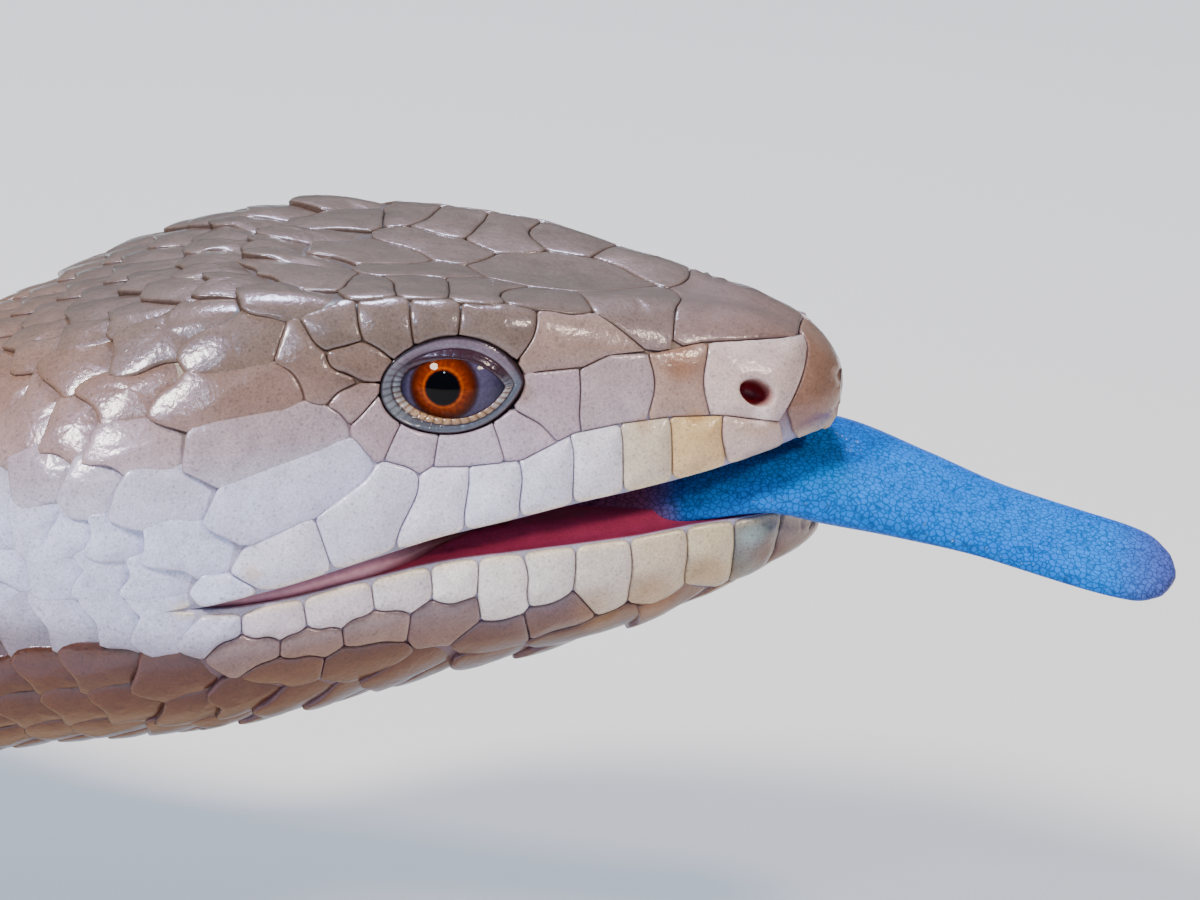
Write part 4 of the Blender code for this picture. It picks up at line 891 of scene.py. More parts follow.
@dataclass(frozen=True)
class Markings:
    """The colours of the hide by place, the same for the skin and for the scales on it."""

    band_count: int = 8
    band_start: float = 72.0
    band_end: float = 258.0
    band_fade: float = 14.0
    tail_band_count: int = 9
    flank_end: tuple[float, float] = (262.0, 300.0)
    neck: tuple[float, float] = (34.0, 62.0)

    def head(self, points: np.ndarray) -> np.ndarray:
        """The head's colours: tan above, mauve on the temples, lavender with a painted bluish sheen on the cheeks,
        brown under the jaw darkened by painted shade.
        """
        x, z = points[:, 0], points[:, 2]
        wave = cloud(points, 5.0, 3.0) * 1.2
        middle = -0.1 + 0.12 * x + wave
        jaw = -15.0 + np.where(x > 4.0, 0.2 * (x - 4.0), 0.05 * (4.0 - x))
        return painted(
            HIDE.crown,
            (HIDE.temple, ramp(-z, -4.0, 1.0)),
            (HIDE.mauve, ramp(middle - z, -2.5, 1.5)),
            # the cheeks' lavender, with a painted bluish sheen
            (HIDE.cheek, ramp(middle - z, 0.5, 5.0)),
            (HIDE.snout, ramp(x, 15.0, 20.0) * ramp(z, -6.0, -3.0)),
            # brown under the jaw, darkened as painted shade
            (HIDE.throat, ramp(jaw - z + wave * 0.3, 0.0, 2.2)),
            (HIDE.gular, ramp(-z, 20.0, 25.0) * 0.6),
        )

    def body(self, behind: np.ndarray, depth: np.ndarray, points: np.ndarray) -> np.ndarray:
        """The body's colours: banded back, orange flanks, pale belly.

        Args:
            behind: distance behind the eyes.
            depth: 0 on the back to 1 on the underside.
            points: the places themselves.

        Returns:
            Linear colours.
        """
        wobble, small = cloud(points, 9.0, 11.0), cloud(points, 3.4, 5.0)
        pitch = (self.band_end - self.band_start) / self.band_count
        tail = (TAIL_END - self.band_end) / self.tail_band_count
        phase = np.where(behind < self.band_end, (behind - self.band_start) / pitch, (behind - self.band_end) / tail)
        wave = np.cos((phase + wobble * 0.14 + small * 0.06) * math.tau)
        band = ramp(wave, -0.05, 0.45) * ramp(behind, self.band_start - self.band_fade, self.band_start)
        side = ramp(depth, 0.24, 0.36) * (1 - ramp(depth, 0.56, 0.68)) * ramp(behind, 60.0, 90.0)
        patch = side * ramp(-wave + wobble * 0.5, -0.1, 0.5) * (1 - ramp(behind, *self.flank_end))
        pale = ramp(depth + wobble * 0.05, 0.60, 0.76)
        return painted(HIDE.back, (HIDE.band, band * 0.93), (HIDE.flank, patch * 0.85),
                       (HIDE.belly, pale * (0.93 - 0.35 * band)))

    def limb(self, points: np.ndarray) -> np.ndarray:
        """The legs' colours: brown with tan spots, paler below and on the toes."""
        spot = ramp(cloud(points, 3.2, 31.0), 0.08, 0.3)
        low = 1 - ramp(points[:, 2], FLOOR + 1.0, FLOOR + 3.0)
        return painted(HIDE.leg, (HIDE.leg_spot, spot * 0.85), (HIDE.belly, low * 0.5))

    def at(self, behind: np.ndarray, depth: np.ndarray, points: np.ndarray) -> np.ndarray:
        """The colour of the hide anywhere: the head's in front, the body's behind, mixed on the neck."""
        return mixed(self.head(points), self.body(behind, depth, points), ramp(behind, *self.neck))

    @staticmethod
    def seams(points: np.ndarray, fade: np.ndarray | float = 1.0) -> tuple[np.ndarray, np.ndarray]:
        """Colours of the seams between scales, and how light they are: 0 above to 1 low on the head."""
        light = ramp(-points[:, 2] + 0.1 * points[:, 0], 0.0, 4.0) * fade
        return painted(HIDE.seam_dark, (HIDE.seam_light, light)), light


@dataclass
class Mouth:
    """The inside of the mouth and the line where the lips meet."""

    form: AnimalForm
    lip_thick: float = 1.2
    rise: float = 2.3
    mound: float = 1.0
    fold_front: float = 3.5
    fold_back: float = 5.0       # behind this the folds have their full thickness
    fold_end: float = 0.6

    def hollow(self, behind: float) -> float:
        """How far the mouth is hollowed: fully in front, less towards its corner."""
        return float(np.clip((MOUTH_CORNER + 5.0 - behind) / 14.0, 0.15, 1.0))

    def row(self, behind: float, upper: bool, count: int) -> list[tuple[float, float]]:
        """Points of the palate, or of the floor of the mouth, from the right lip to the left one.

        Args:
            behind: distance behind the eyes.
            upper: True for the palate.
            count: how many points, without the lips themselves.

        Returns:
            Sideways place, left positive, and height of each point.
        """
        reach, height = map(float, self.form.lips(behind)[0 if upper else 1])
        depth = min(self.rise, 0.5 * reach) * self.hollow(behind)
        rows = []
        for share in np.linspace(-1, 1, count + 2)[1:-1]:
            share = math.copysign(1 - (1 - abs(share)) ** 1.35, share)
            across = share * max(reach - 0.15, 0.2 * reach)
            inwards = (1 - abs(share)) * reach
            wall = float(ramp(inwards, 0.0, self.lip_thick * 1.6))
            mound = self.mound * float(ramp(inwards, self.lip_thick * 0.4, self.lip_thick * 2.4))
            rows.append((across, height + (depth * wall if upper else mound * min(1.0, reach / 8.0) - 0.12 * wall)))
        return rows

    def folds(self) -> list["Tube"]:
        """The soft folds of skin between the lips towards both corners of the mouth."""
        stations = np.linspace(-self.fold_front, MOUTH_CORNER - self.fold_end, 30)
        knots = []
        for behind in stations:
            upper, lower = self.form.lips(behind)
            gap = float(upper[1] - lower[1])
            front = float(ramp(-behind, -self.fold_back, self.fold_front))
            reach = float(min(upper[0], lower[0])) - (0.75 + 2.6 * front) - 0.3 * gap
            thin = 1 - 0.75 * front
            height = float(upper[1] + lower[1]) / 2 - 0.3 * (1 - thin)
            knots.append((behind, reach, height, max(gap * 0.62, 0.25) * thin))
        found = []
        for side in Side:
            path = np.array([self.form.in_place(b, side * y, z) for b, y, z, _ in knots])
            found.append(Tube(path, np.array([r for *_, r in knots])))
        return found

    def line(self, upper: bool) -> np.ndarray:
        """The lip line on the right side as a chain of points."""
        tip = SNOUT if upper else CHIN
        stations = np.arange(-tip + 0.2, MOUTH_CORNER, 0.8)
        lips = np.array([self.form.lips(s)[0 if upper else 1] for s in stations])
        front = np.array([[tip, 0.0, UPPER_TIP if upper else LOWER_TIP]])
        return np.concatenate([front, self.form.in_place(stations, -lips[:, 0], lips[:, 1])])


@dataclass
class Openings:
    """The openings in the head's sides: the eye's almond, the nostril and the ear."""

    almond_middle: float = 0.7
    almond_reach: tuple[float, float] = (4.3, 2.95)
    corner_sharpness: float = 0.34
    slit_middle: tuple[float, float] = (0.7, -0.18)
    slit_reach: tuple[float, float] = (3.25, 1.86)
    nostril: tuple[float, float] = (19.5, -0.3)      # right of and above the iris, as seen in the photograph
    nostril_reach: tuple[float, float] = (1.15, 0.8)
    nostril_tilt: float = -22.0
    pit_reach: tuple[float, float] = (1.0, 2.0)      # the skin behind the nostril's plate sinks between these
    pit_depth: float = 3.0
    socket_floor: float = 9.4                        # how far from the middle of the head the skin ends at the eye
    ear: tuple[float, float] = (-29.7, -9.8)
    ear_reach: tuple[float, float] = (1.5, 2.4)
    ear_depth: float = 2.6

    def almond(self, angle: np.ndarray) -> np.ndarray:
        """The lid line round its middle: forward and up, pointed in front and rounder behind."""
        c, s = np.cos(angle), np.sin(angle)
        power = self.corner_sharpness * (1 + c) / 2
        return np.stack([self.almond_reach[0] * c, self.almond_reach[1] * s * np.abs(s) ** power], axis=-1)

    def slit(self, angle: np.ndarray) -> np.ndarray:
        """The line where the lids meet the ball, ahead and up from the head's zero."""
        c, s = np.cos(angle), np.sin(angle)
        power = 0.5 * (1 + c) / 2
        return np.stack([self.slit_middle[0] + self.slit_reach[0] * c,
                         self.slit_middle[1] + self.slit_reach[1] * s * np.abs(s) ** power], axis=-1)

    def ear_share(self, points: np.ndarray, slack: float = 0.0) -> np.ndarray:
        """How far points lie from the ear's middle, 1 on its rim widened by some slack."""
        x, z = points[:, 0] - self.ear[0], points[:, 2] - self.ear[1]
        return np.hypot(x / (self.ear_reach[0] + slack), z / (self.ear_reach[1] + slack))

    def almond_share(self, points: np.ndarray) -> np.ndarray:
        """How far points lie from the opening's middle, 1 on the lid line."""
        x, z = points[:, 0] - self.almond_middle, points[:, 2]
        rim = self.almond(np.arctan2(z / self.almond_reach[1], x / self.almond_reach[0]))
        return np.hypot(x, z) / np.maximum(np.hypot(rim[:, 0], rim[:, 1]), 1e-6)


@dataclass
class Skin:
    """The one continuous skin of the head, mouth, neck, body, tail, legs and feet."""

    form: AnimalForm
    mouth: Mouth
    openings: Openings
    head_step: float = 0.62
    body_step: float = 2.4
    head_end: float = 38.0
    upper_count: int = 42
    lower_count: int = 30
    lining_count: int = 25

    def stations(self, tip: float) -> np.ndarray:
        """Stations from a jaw's tip to the corner of the mouth, close together at the tip."""
        roots = np.linspace(0.42, math.sqrt(tip + MOUTH_CORNER), int((tip + MOUTH_CORNER) / self.head_step * 1.15))
        return roots ** 2 - tip

    def rows(self, behind: float, upper: bool) -> np.ndarray:
        """Outer points of a section: over the back from the left lip to the right, or under it and back."""
        if upper:
            half = self.form.upper_half(behind, np.linspace(0, 4, self.upper_count + 1))
            across = np.concatenate([half[::-1, 0], -half[1:, 0]])
            height = np.concatenate([half[::-1, 1], half[1:, 1]])
        else:
            half = self.form.lower_half(behind, np.linspace(0, 3, self.lower_count + 1))
            across = np.concatenate([-half[:, 0], half[-2::-1, 0]])
            height = np.concatenate([half[:, 1], half[-2::-1, 1]])
        return self.form.in_place(np.full(len(across), float(behind)), across, np.maximum(height, SOLE))

    def build_shell(self, lined: bool = True) -> tuple[np.ndarray, list, dict[str, np.ndarray]]:
        """The skin without legs.

        Args:
            lined: whether the lining of the mouth closes it.

        Returns:
            Points, faces, and for each point its station, its depth from 0 on the back to 1 below, and its place
            in the mouth, as a Region.
        """
        points, faces, facts = [], [], {"behind": [], "depth": [], "inside": []}

        def put(row: np.ndarray, behind: float, depth: np.ndarray, inside: Region) -> np.ndarray:
            first = len(points)
            points.extend(row)
            facts["behind"] += [behind] * len(row)
            facts["depth"] += list(depth)
            facts["inside"] += [inside] * len(row)
            return np.arange(first, first + len(row))

        back = np.concatenate([
            np.arange(MOUTH_CORNER, self.head_end, self.head_step)[1:],
            np.linspace(self.head_end, TAIL_END - 0.5, int((TAIL_END - self.head_end) / self.body_step))])
        upper_depth = np.abs(np.linspace(-0.57, 0.57, 2 * self.upper_count + 1))
        lower_depth = 1 - np.abs(np.linspace(-0.43, 0.43, 2 * self.lower_count + 1))
        grids, last_rows = {}, []
        for upper, tip, tip_height in ((True, SNOUT, UPPER_TIP), (False, CHIN, LOWER_TIP)):
            outer, inner = [], []
            for behind in self.stations(tip):
                depth = upper_depth if upper else lower_depth
                outer.append(put(self.rows(behind, upper), behind, depth, Region.OUTSIDE))
                cross = np.array(self.mouth.row(behind, upper, self.lining_count))
                row = self.form.in_place(np.full(len(cross), behind), cross[:, 0], cross[:, 1])
                region = Region.PALATE if upper else Region.MOUTH_FLOOR
                inner.append(put(row, behind, np.full(len(cross), 0.6), region))
            tip_point = put(self.form.in_place(np.array([-tip]), np.array([0.0]), np.array([tip_height])),
                            -tip, np.array([0.5]), Region.OUTSIDE)[0]
            grids[upper] = (outer, inner, tip_point)
        upper_outer, lower_outer = grids[True][0], grids[False][0]
        lower_outer[-1][0], lower_outer[-1][-1] = upper_outer[-1][-1], upper_outer[-1][0]
        for behind in back:
            upper_outer.append(put(self.rows(behind, True), behind, upper_depth, Region.OUTSIDE))
            row = put(self.rows(behind, False), behind, lower_depth, Region.OUTSIDE)
            row[0], row[-1] = upper_outer[-1][-1], upper_outer[-1][0]
            lower_outer.append(row)
        for outer in (upper_outer, lower_outer):
            for a, b in zip(outer[:-1], outer[1:]):
                faces += [(a[j], a[j + 1], b[j + 1], b[j]) for j in range(len(a) - 1)]
        tail = put(self.form.in_place(np.array([TAIL_END + 0.6]), np.array([0.0]), np.array([-45.4])),
                   TAIL_END, np.array([0.5]), Region.OUTSIDE)[0]
        for last in (upper_outer[-1], lower_outer[-1]):
            faces += [(last[j], last[j + 1], tail) for j in range(len(last) - 1)]
        for upper, (outer, inner, tip_point) in (grids.items() if lined else ()):
            full = []
            for i, row in enumerate(inner):
                ends = (outer[i][-1], outer[i][0]) if upper else (outer[i][0], outer[i][-1])
                full.append([ends[0], *row, ends[1]])
            for a, b in zip(full[:-1], full[1:]):
                faces += [(a[j], a[j + 1], b[j + 1], b[j]) for j in range(len(a) - 1)]
            ring = outer[0]
            faces += [(ring[j + 1], ring[j], tip_point) for j in range(len(ring) - 1)]
            faces += [(full[0][j + 1], full[0][j], tip_point) for j in range(len(full[0]) - 1)]
            last_rows.append(full[-1])
        if lined:
            a, b = last_rows
            faces += [tuple(dict.fromkeys((a[j], a[j + 1], b[j + 1], b[j]))) for j in range(len(a) - 1)]
        return np.array(points), faces, {k: np.array(v) for k, v in facts.items()}

    def press_in(self, points: np.ndarray, facts: dict[str, np.ndarray], nostrils: list[np.ndarray],
                 normals: np.ndarray) -> np.ndarray:
        """Hollows the eye sockets, nostrils and ears into the skin."""
        points = points.copy()
        outside = facts["inside"] == Region.OUTSIDE
        near_eye = outside & (np.abs(points[:, 1]) > 6) & (np.abs(points[:, 0]) < 9) & (points[:, 2] > -6)
        share = self.openings.almond_share(points)
        depth = (1 - ramp(share, 0.92, 1.1)) * near_eye
        sunk = np.maximum(np.abs(points[:, 1]) - self.openings.socket_floor, 0.0)
        points[:, 1] -= np.sign(points[:, 1]) * depth * sunk
        for middle in nostrils:
            away = np.linalg.norm(points - middle, axis=1)
            pit = (1 - ramp(away, *self.openings.pit_reach)) * self.openings.pit_depth
            points -= normals * (pit * outside)[:, None]
        ear = (1 - ramp(self.openings.ear_share(points), 0.75, 1.15)) * outside * (np.abs(points[:, 1]) > BESIDE)
        points -= normals * (ear * self.openings.ear_depth)[:, None]
        return points


def triangulated(faces: Iterable[Sequence[int]]) -> np.ndarray:
    """Faces as fans of triangles."""
    return np.array([(f[0], f[k], f[k + 1]) for f in faces for k in range(1, len(f) - 1)])


# The shields of the head. Each is grown round a line between two places, out to halfway to its neighbours.
# Side shields: name, then both ends right of and above the iris as seen in the photograph, then the added reach.
SIDE_SHIELDS = (
    ("nasal", 18.2, 0.4, 20.2, 0.2, 0.2), ("front_loreal", 14.5, 1.3, 14.5, -0.7, 0.0),
    ("rear_loreal", 9.9, -0.3, 11.6, 0.2, 0.3), ("preocular", 6.4, -1.8, 7.5, -0.4, 0.0),
    ("brow_front", 6.8, 2.8, 9.2, 2.6, 0.1), ("brow_1", 2.0, 4.0, 5.0, 3.6, -0.5),
    ("brow_2", -1.2, 4.2, 0.2, 4.2, -0.6),
    ("brow_3", -4.6, 3.9, -3.2, 4.1, -0.3), ("upper_temple", -7.2, 3.4, -6.2, 3.6, 0.0),
    ("post_ocular_1", -6.6, 1.6, -5.6, 1.9, -0.2), ("post_ocular_2", -9.2, 2.3, -7.0, 0.2, 0.1),
    ("post_ocular_3", -6.4, -0.6, -5.6, -1.2, -0.2), ("sub_ocular_1", -4.6, -2.2, -4.2, -3.0, -0.1),
    ("sub_ocular_2", -2.4, -3.8, -1.4, -4.0, -0.2), ("sub_ocular_3", 0.3, -4.2, 2.8, -4.2, -0.3),
    ("sub_ocular_4", 4.6, -3.6, 5.8, -2.6, -0.2),
    ("temple_1", -14.5, 2.2, -11.2, 2.9, 0.0), ("temple_2", -16.3, -1.0, -10.2, 0.1, 0.0),
    ("temple_3", -14.3, -4.2, -7.2, -2.4, 0.0), ("temple_4", -12.8, -8.0, -6.0, -4.6, 0.0),
    ("upper_lip_1", 18.9, -2.6, 19.5, -3.9, 0.0), ("upper_lip_2", 15.8, -2.4, 15.8, -4.9, 0.0),
    ("upper_lip_3", 12.7, -2.9, 12.7, -5.6, 0.0), ("upper_lip_4", 9.7, -3.5, 9.7, -6.3, 0.0),
    ("upper_lip_5", 6.6, -4.4, 6.4, -7.0, 0.0), ("upper_lip_6", 3.3, -5.9, 3.0, -7.8, 0.0),
    ("upper_lip_7", -0.1, -6.0, -0.5, -8.6, 0.0), ("upper_lip_8", -6.3, -9.4, -3.0, -6.0, 0.0),
    ("upper_lip_9", -11.8, -11.4, -8.6, -10.3, 0.0), ("upper_lip_10", -14.8, -13.0, -12.8, -12.9, 0.0),
    ("cheek_1", -16.6, -9.8, -14.2, -10.2, 0.0), ("cheek_2", -18.2, -7.2, -15.8, -6.8, 0.0),
    ("cheek_3", -19.8, -3.6, -17.4, -3.8, 0.0), ("cheek_4", -20.0, -0.8, -17.6, 0.4, 0.0),
    ("cheek_5", -21.4, -6.6, -21.0, -5.6, 0.0), ("cheek_6", -22.6, -3.2, -22.0, -1.8, 0.0),
    ("cheek_7", -20.2, -9.5, -19.2, -9.6, 0.0), ("cheek_8", -25.4, -2.8, -25.0, -0.8, 0.0),
    ("cheek_9", -24.2, -5.6, -24.0, -4.8, 0.0), ("cheek_10", -22.8, -9.3, -22.2, -9.1, 0.0),
    ("cheek_11", -24.8, -8.8, -24.4, -8.2, 0.0), ("cheek_12", -17.8, -11.7, -16.6, -11.9, 0.0),
    ("cheek_13", -20.9, -11.3, -19.8, -11.5, 0.0), ("cheek_14", -23.0, -11.2, -22.2, -11.2, 0.0),
    ("cheek_15", -17.4, -13.9, -16.2, -13.8, 0.0),
    ("nape_1", -22.6, 1.4, -21.0, 1.8, 0.0), ("nape_2", -18.5, 2.2, -14.5, 4.6, 0.0),
    ("nape_3", -20.9, 4.9, -20.3, 5.1, 0.0), ("nape_4", -24.8, 3.1, -24.2, 3.4, 0.0),
)
# Shields of the lower jaw, in the same way.
JAW_SHIELDS = (
    ("mental", 21.8, -9.4, 21.4, -10.0, 0.0), ("lower_lip_1", 19.4, -9.2, 19.4, -10.2, 0.0),
    ("lower_lip_2", 16.8, -9.6, 16.6, -11.0, 0.0), ("lower_lip_3", 13.6, -10.2, 13.4, -12.2, 0.0),
    ("lower_lip_4", 9.9, -11.0, 9.7, -12.8, 0.0), ("lower_lip_5", 6.6, -11.2, 6.4, -12.4, 0.0),
    ("lower_lip_6", 3.9, -12.2, 3.7, -13.4, 0.2), ("lower_lip_7", 0.6, -12.2, 0.6, -12.6, 0.0),
    ("lower_lip_8", -3.4, -13.0, -2.0, -12.6, 0.0), ("lower_lip_9", -7.6, -14.2, -5.4, -13.4, 0.0),
    ("lower_lip_10", -11.6, -15.0, -9.6, -14.6, 0.0), ("lower_lip_11", -14.6, -15.2, -13.6, -15.1, 0.0),
    ("chin_side_1", 6.2, -14.4, 8.0, -13.9, 0.0), ("chin_side_2", -0.8, -14.4, 1.0, -14.0, 0.0),
    ("chin_side_3", -5.2, -15.1, -3.4, -14.7, 0.0), ("chin_side_4", -9.2, -16.0, -7.4, -15.7, 0.0),
    ("chin_side_5", -13.2, -16.4, -11.2, -16.1, 0.0), ("chin_side_6", 3.0, -15.3, 4.2, -15.0, 0.0),
    ("chin_side_7", -6.2, -17.0, -4.2, -16.7, 0.0), ("chin_side_8", -10.6, -17.6, -8.8, -17.3, 0.0),
)
# On the crown and under the chin: x and y of both ends on the right side. One with no y lies on the middle line.
CROWN_SHIELDS = (
    ("rostral", 22.8, 0.0, 22.8, 0.0, 0.0), ("fronto_nasal", 16.6, -3.4, 16.6, 3.4, 0.4),
    ("frontal", 3.4, 0.0, 8.4, 0.0, 1.0), ("inter_parietal", -9.2, 0.0, -5.2, 0.0, 0.2),
    ("pre_frontal", 10.2, -6.2, 12.0, -3.0, 0.0), ("supra_ocular_1", 4.6, -8.0, 7.0, -7.4, 0.0),
    ("supra_ocular_2", 1.8, -9.0, 1.4, -5.4, 0.0), ("supra_ocular_3", -1.7, -9.2, -2.2, -6.6, 0.0),
    ("supra_ocular_4", -5.0, -10.0, -5.2, -8.6, 0.0), ("fronto_parietal", -3.6, -4.0, -0.8, -2.4, 0.0),
    ("parietal", -12.4, -4.4, -8.2, -8.4, 0.3), ("nuchal_1", -16.2, -4.6, -15.8, -1.8, 0.0),
)
CHIN_SHIELDS = (
    ("chin_1", 18.6, -1.2, 19.2, -1.2, 0.0), ("chin_2", 13.6, -2.6, 16.2, -2.4, 0.0),
    ("chin_3", 8.2, -3.4, 11.4, -3.2, 0.0), ("chin_4", 2.6, -4.2, 6.0, -4.0, 0.0),
    ("chin_5", 6.6, -8.6, 11.0, -7.0, 0.0),
)


SMALL_SCALES = ("scale", "ear_scale")

# How a plate rises: inset from its rim and level, in shares of its height, or in millimetres below the skin where
# it is negative. Then the shares of the way at which its inner rings lie.
PLATE_EDGE = ((0.0, -0.35), (0.0, 0.3), (0.035, 0.7), (0.1, 0.9), (0.24, 0.98), (0.5, 1.0))
PLATE_SHARES = (0.72, 0.45, 0.2)
# The nostril goes through its plate: its root, its rings, and the wall of the hole as share of its reach and level.
NOSTRIL_ROOT = (0.5, -10.0)
NOSTRIL_SHARES = (0.75, 0.5, 0.25, 0.08)
NOSTRIL_WALL = ((1.0, 0.6), (0.93, -0.8), (0.85, -3.2), (0.6, -5.2), (0.0, -5.9))
NOSTRIL_TOP = 90.0           # marks the points of that wall, far above any distance from a rim

# Borders between rows of shields, right of and above the iris: over the upper lip, and along the snout's edge.
ROW_BORDERS = (
    ((21.3, -2.1), (17.4, -1.7), (14.2, -1.8), (11.2, -2.2), (8.2, -2.8), (4.9, -4.5), (1.4, -4.9), (-1.8, -4.9)),
    ((21.7, 3.1), (16.0, 2.8), (13.2, 2.2), (10.4, 2.1), (8.7, 1.3), (5.4, 1.0)),
)


@dataclass
class ShieldLine:
    """One shield's line on the surface, its reach and its lie."""

    name: str
    ends: np.ndarray
    reach: float
    lap: float

    def mirrored(self) -> "ShieldLine":
        """The same line on the other side."""
        return ShieldLine(self.name, self.ends * (1, -1, 1), self.reach, self.lap)


@dataclass
class HeadShields:
    """The horny shields and scales of the head and nape, each a domed plate that fits between its neighbours."""

    form: AnimalForm
    view: Viewpoint
    openings: Openings
    markings: Markings
    rays: int = 60
    small_rays: int = 32
    seam: float = 0.013
    rounding: float = 0.12
    height: float = 0.24
    dome: float = 0.14
    lip_dome: float = 3.2        # how much more a shield of the lips or the nostril bulges, and one that overlaps
    lap_dome: float = 1.7
    lap_rise: float = 0.4
    lap_shift: float = 0.7
    lap_over: float = 0.8
    least_mean: float = 0.5      # a plate that reaches less far than this on average is left out
    least_reach: float = 0.12    # and so is one that reaches less far than this on any side
    lip_clear: float = 0.04
    lip_rounding: float = 0.22
    lid_clear: float = 0.12
    ear_clear: float = 0.15
    most: float = 5.2
    soft_seams: tuple[str, ...] = ("upper_lip", "lower_lip", "sub_ocular", "cheek", "chin", "temple_3", "temple_4")
    rostral_side: tuple[float, float] = (22.7, -1.7)
    rostral_middle: float = -2.4
    fill_start: float = -32.0    # columns are counted from here
    throat_from: float = -15.0   # the throat is filled from here, and the rest of the head from fill_from
    fill_from: float = 8.0
    fill_to: float = 44.0
    fill_columns: int = 34
    fill_width: float = 5.6
    fill_half: float = 0.6       # half the length of a small scale's line
    neck_from: float = 16.0
    under_turn: float = 0.30     # places farther round than this are under the head
    place_share: float = 0.16    # how much of a tinted shield's colour is still its place's
    neighbours: float = 16.0     # shields nearer than this can border one another
    lines: list[ShieldLine] = field(default_factory=list)

    def lay_out(self, surface: Surface) -> None:
        """Puts every shield's line on the surface, on both sides, and fills the nape, cheeks and throat."""
        right = []
        for name, h1, v1, h2, v2, reach in SIDE_SHIELDS + JAW_SHIELDS:
            ends = [surface.cast(*self.view.ray(h, v)) for h, v in ((h1, v1), (h2, v2))]
            lap = 1.0 if name.startswith(("cheek", "nape")) else 0.45 if name.startswith("temple") else 0.0
            right.append(ShieldLine(name, np.array(ends), reach, lap))
        for rows, side in ((CROWN_SHIELDS, 1.0), (CHIN_SHIELDS, -1.0)):
            for name, x1, y1, x2, y2, reach in rows:
                ends = [surface.cast((x, y, 60.0 * side), (0.0, 0.0, -side)) for x, y in ((x1, y1), (x2, y2))]
                if name == "rostral":
                    spot = surface.cast(*self.view.ray(*self.rostral_side))
                    ends = [spot, spot * (1, -1, 1)]
                right.append(ShieldLine(name, np.array(ends), reach, 0.4 if name.startswith("nuchal") else 0.0))
        for line in right:
            self.add_line(line, abs(line.ends[:, 1].sum()) > 0.4)
        self.ring_the_ear(surface)
        self.fill_in()

    def ring_the_ear(self, surface: Surface, count: int = 11, away: float = 1.5) -> None:
        """Small scales round the ear opening."""
        reach = np.array(self.openings.ear_reach) + away
        for k in range(count):
            angle = math.tau * (k + 0.5) / count
            x, z = np.array(self.openings.ear) + reach * (math.cos(angle), math.sin(angle))
            spot = surface.cast((x, -60.0, z), (0.0, 1.0, 0.0))
            self.add_line(ShieldLine("ear_scale", np.array([spot, spot]), 0.0, 0.5), True)

    def fill_in(self) -> None:
        """Scales in staggered columns where no named shield lies."""
        behind, number = self.fill_start, 0
        while behind < self.fill_to:
            on_neck = behind > self.neck_from
            girth = self.form.girth(max(behind, -self.neck_from))
            columns = self.fill_columns if on_neck else 2 * int(girth / self.fill_width)
            for k in range(number % 2, columns, 2):
                turn = (k + 0.5) / columns if on_neck else k / columns
                spot = self.form.around(behind, np.array([turn]))[0]
                under = min(turn, 1 - turn) > (0.0 if on_neck else self.under_turn)
                on_face = behind < self.throat_from or (not under and behind < self.fill_from)
                if not on_face and spot[1] <= 1e-6 and self.has_room(spot, behind):
                    back = self.form.rearwards(behind) * self.fill_half
                    self.add_line(ShieldLine("scale", np.array([spot - back, spot + back]), 0.0, 1.0),
                                  abs(spot[1]) > 0.3)
            behind += max(girth / columns * 0.47, 1.15)
            number += 1

    def has_room(self, spot: np.ndarray, behind: float) -> bool:
        """Whether a small scale fits at a spot between the lines laid so far and the ear."""
        others = np.array([line.ends for line in self.lines])
        room = distances(spot[None], others[:, 0], others[:, 1]).min()
        needed = (1.5 if behind > 14.0 else 1.9) + 0.35 * (behind < 30.0)
        near_ear = np.hypot(spot[0] - self.openings.ear[0], spot[2] - self.openings.ear[1]) < 3.6
        return room >= needed and not (near_ear and abs(spot[1]) > BESIDE)

    def add_line(self, line: ShieldLine, twice: bool) -> None:
        """Keeps a line, and its mirror image where it has one."""
        self.lines += [line, line.mirrored()] if twice else [line]

    def grow(self, surface: Surface, lips: list[np.ndarray], name: str, chosen: Callable[[ShieldLine], bool],
             material: bpy.types.Material) -> bpy.types.Object:
        """Grows the chosen shields and joins them into one piece.

        Args:
            surface: the smooth head to grow on.
            lips: the lip lines on the right side.
            name: the piece's name.
            chosen: which lines belong to this piece.
            material: its finish.

        Returns:
            The piece.
        """
        starts = np.array([line.ends[0] for line in self.lines])
        ends = np.array([line.ends[1] for line in self.lines])
        reaches = np.array([line.reach for line in self.lines])
        sides = self.above_borders((starts + ends) / 2)
        points, faces, hues, count = [], [], [], 0
        rng = np.random.default_rng(5)
        for number, line in enumerate(self.lines):
            shade = rng.normal(0.0, 0.035)
            if not chosen(line):
                continue
            near = np.linalg.norm((starts + ends - line.ends.sum(axis=0)) / 2, axis=1) < self.neighbours
            near[number] = False
            near &= ~(sides * sides[number] < 0).any(axis=1)
            shift = self.shift_of(line)
            rounding = self.rounding * (1 + 0.8 * line.lap)
            seam = self.seam * (0.4 if line.name.startswith(self.soft_seams) else 1.0)

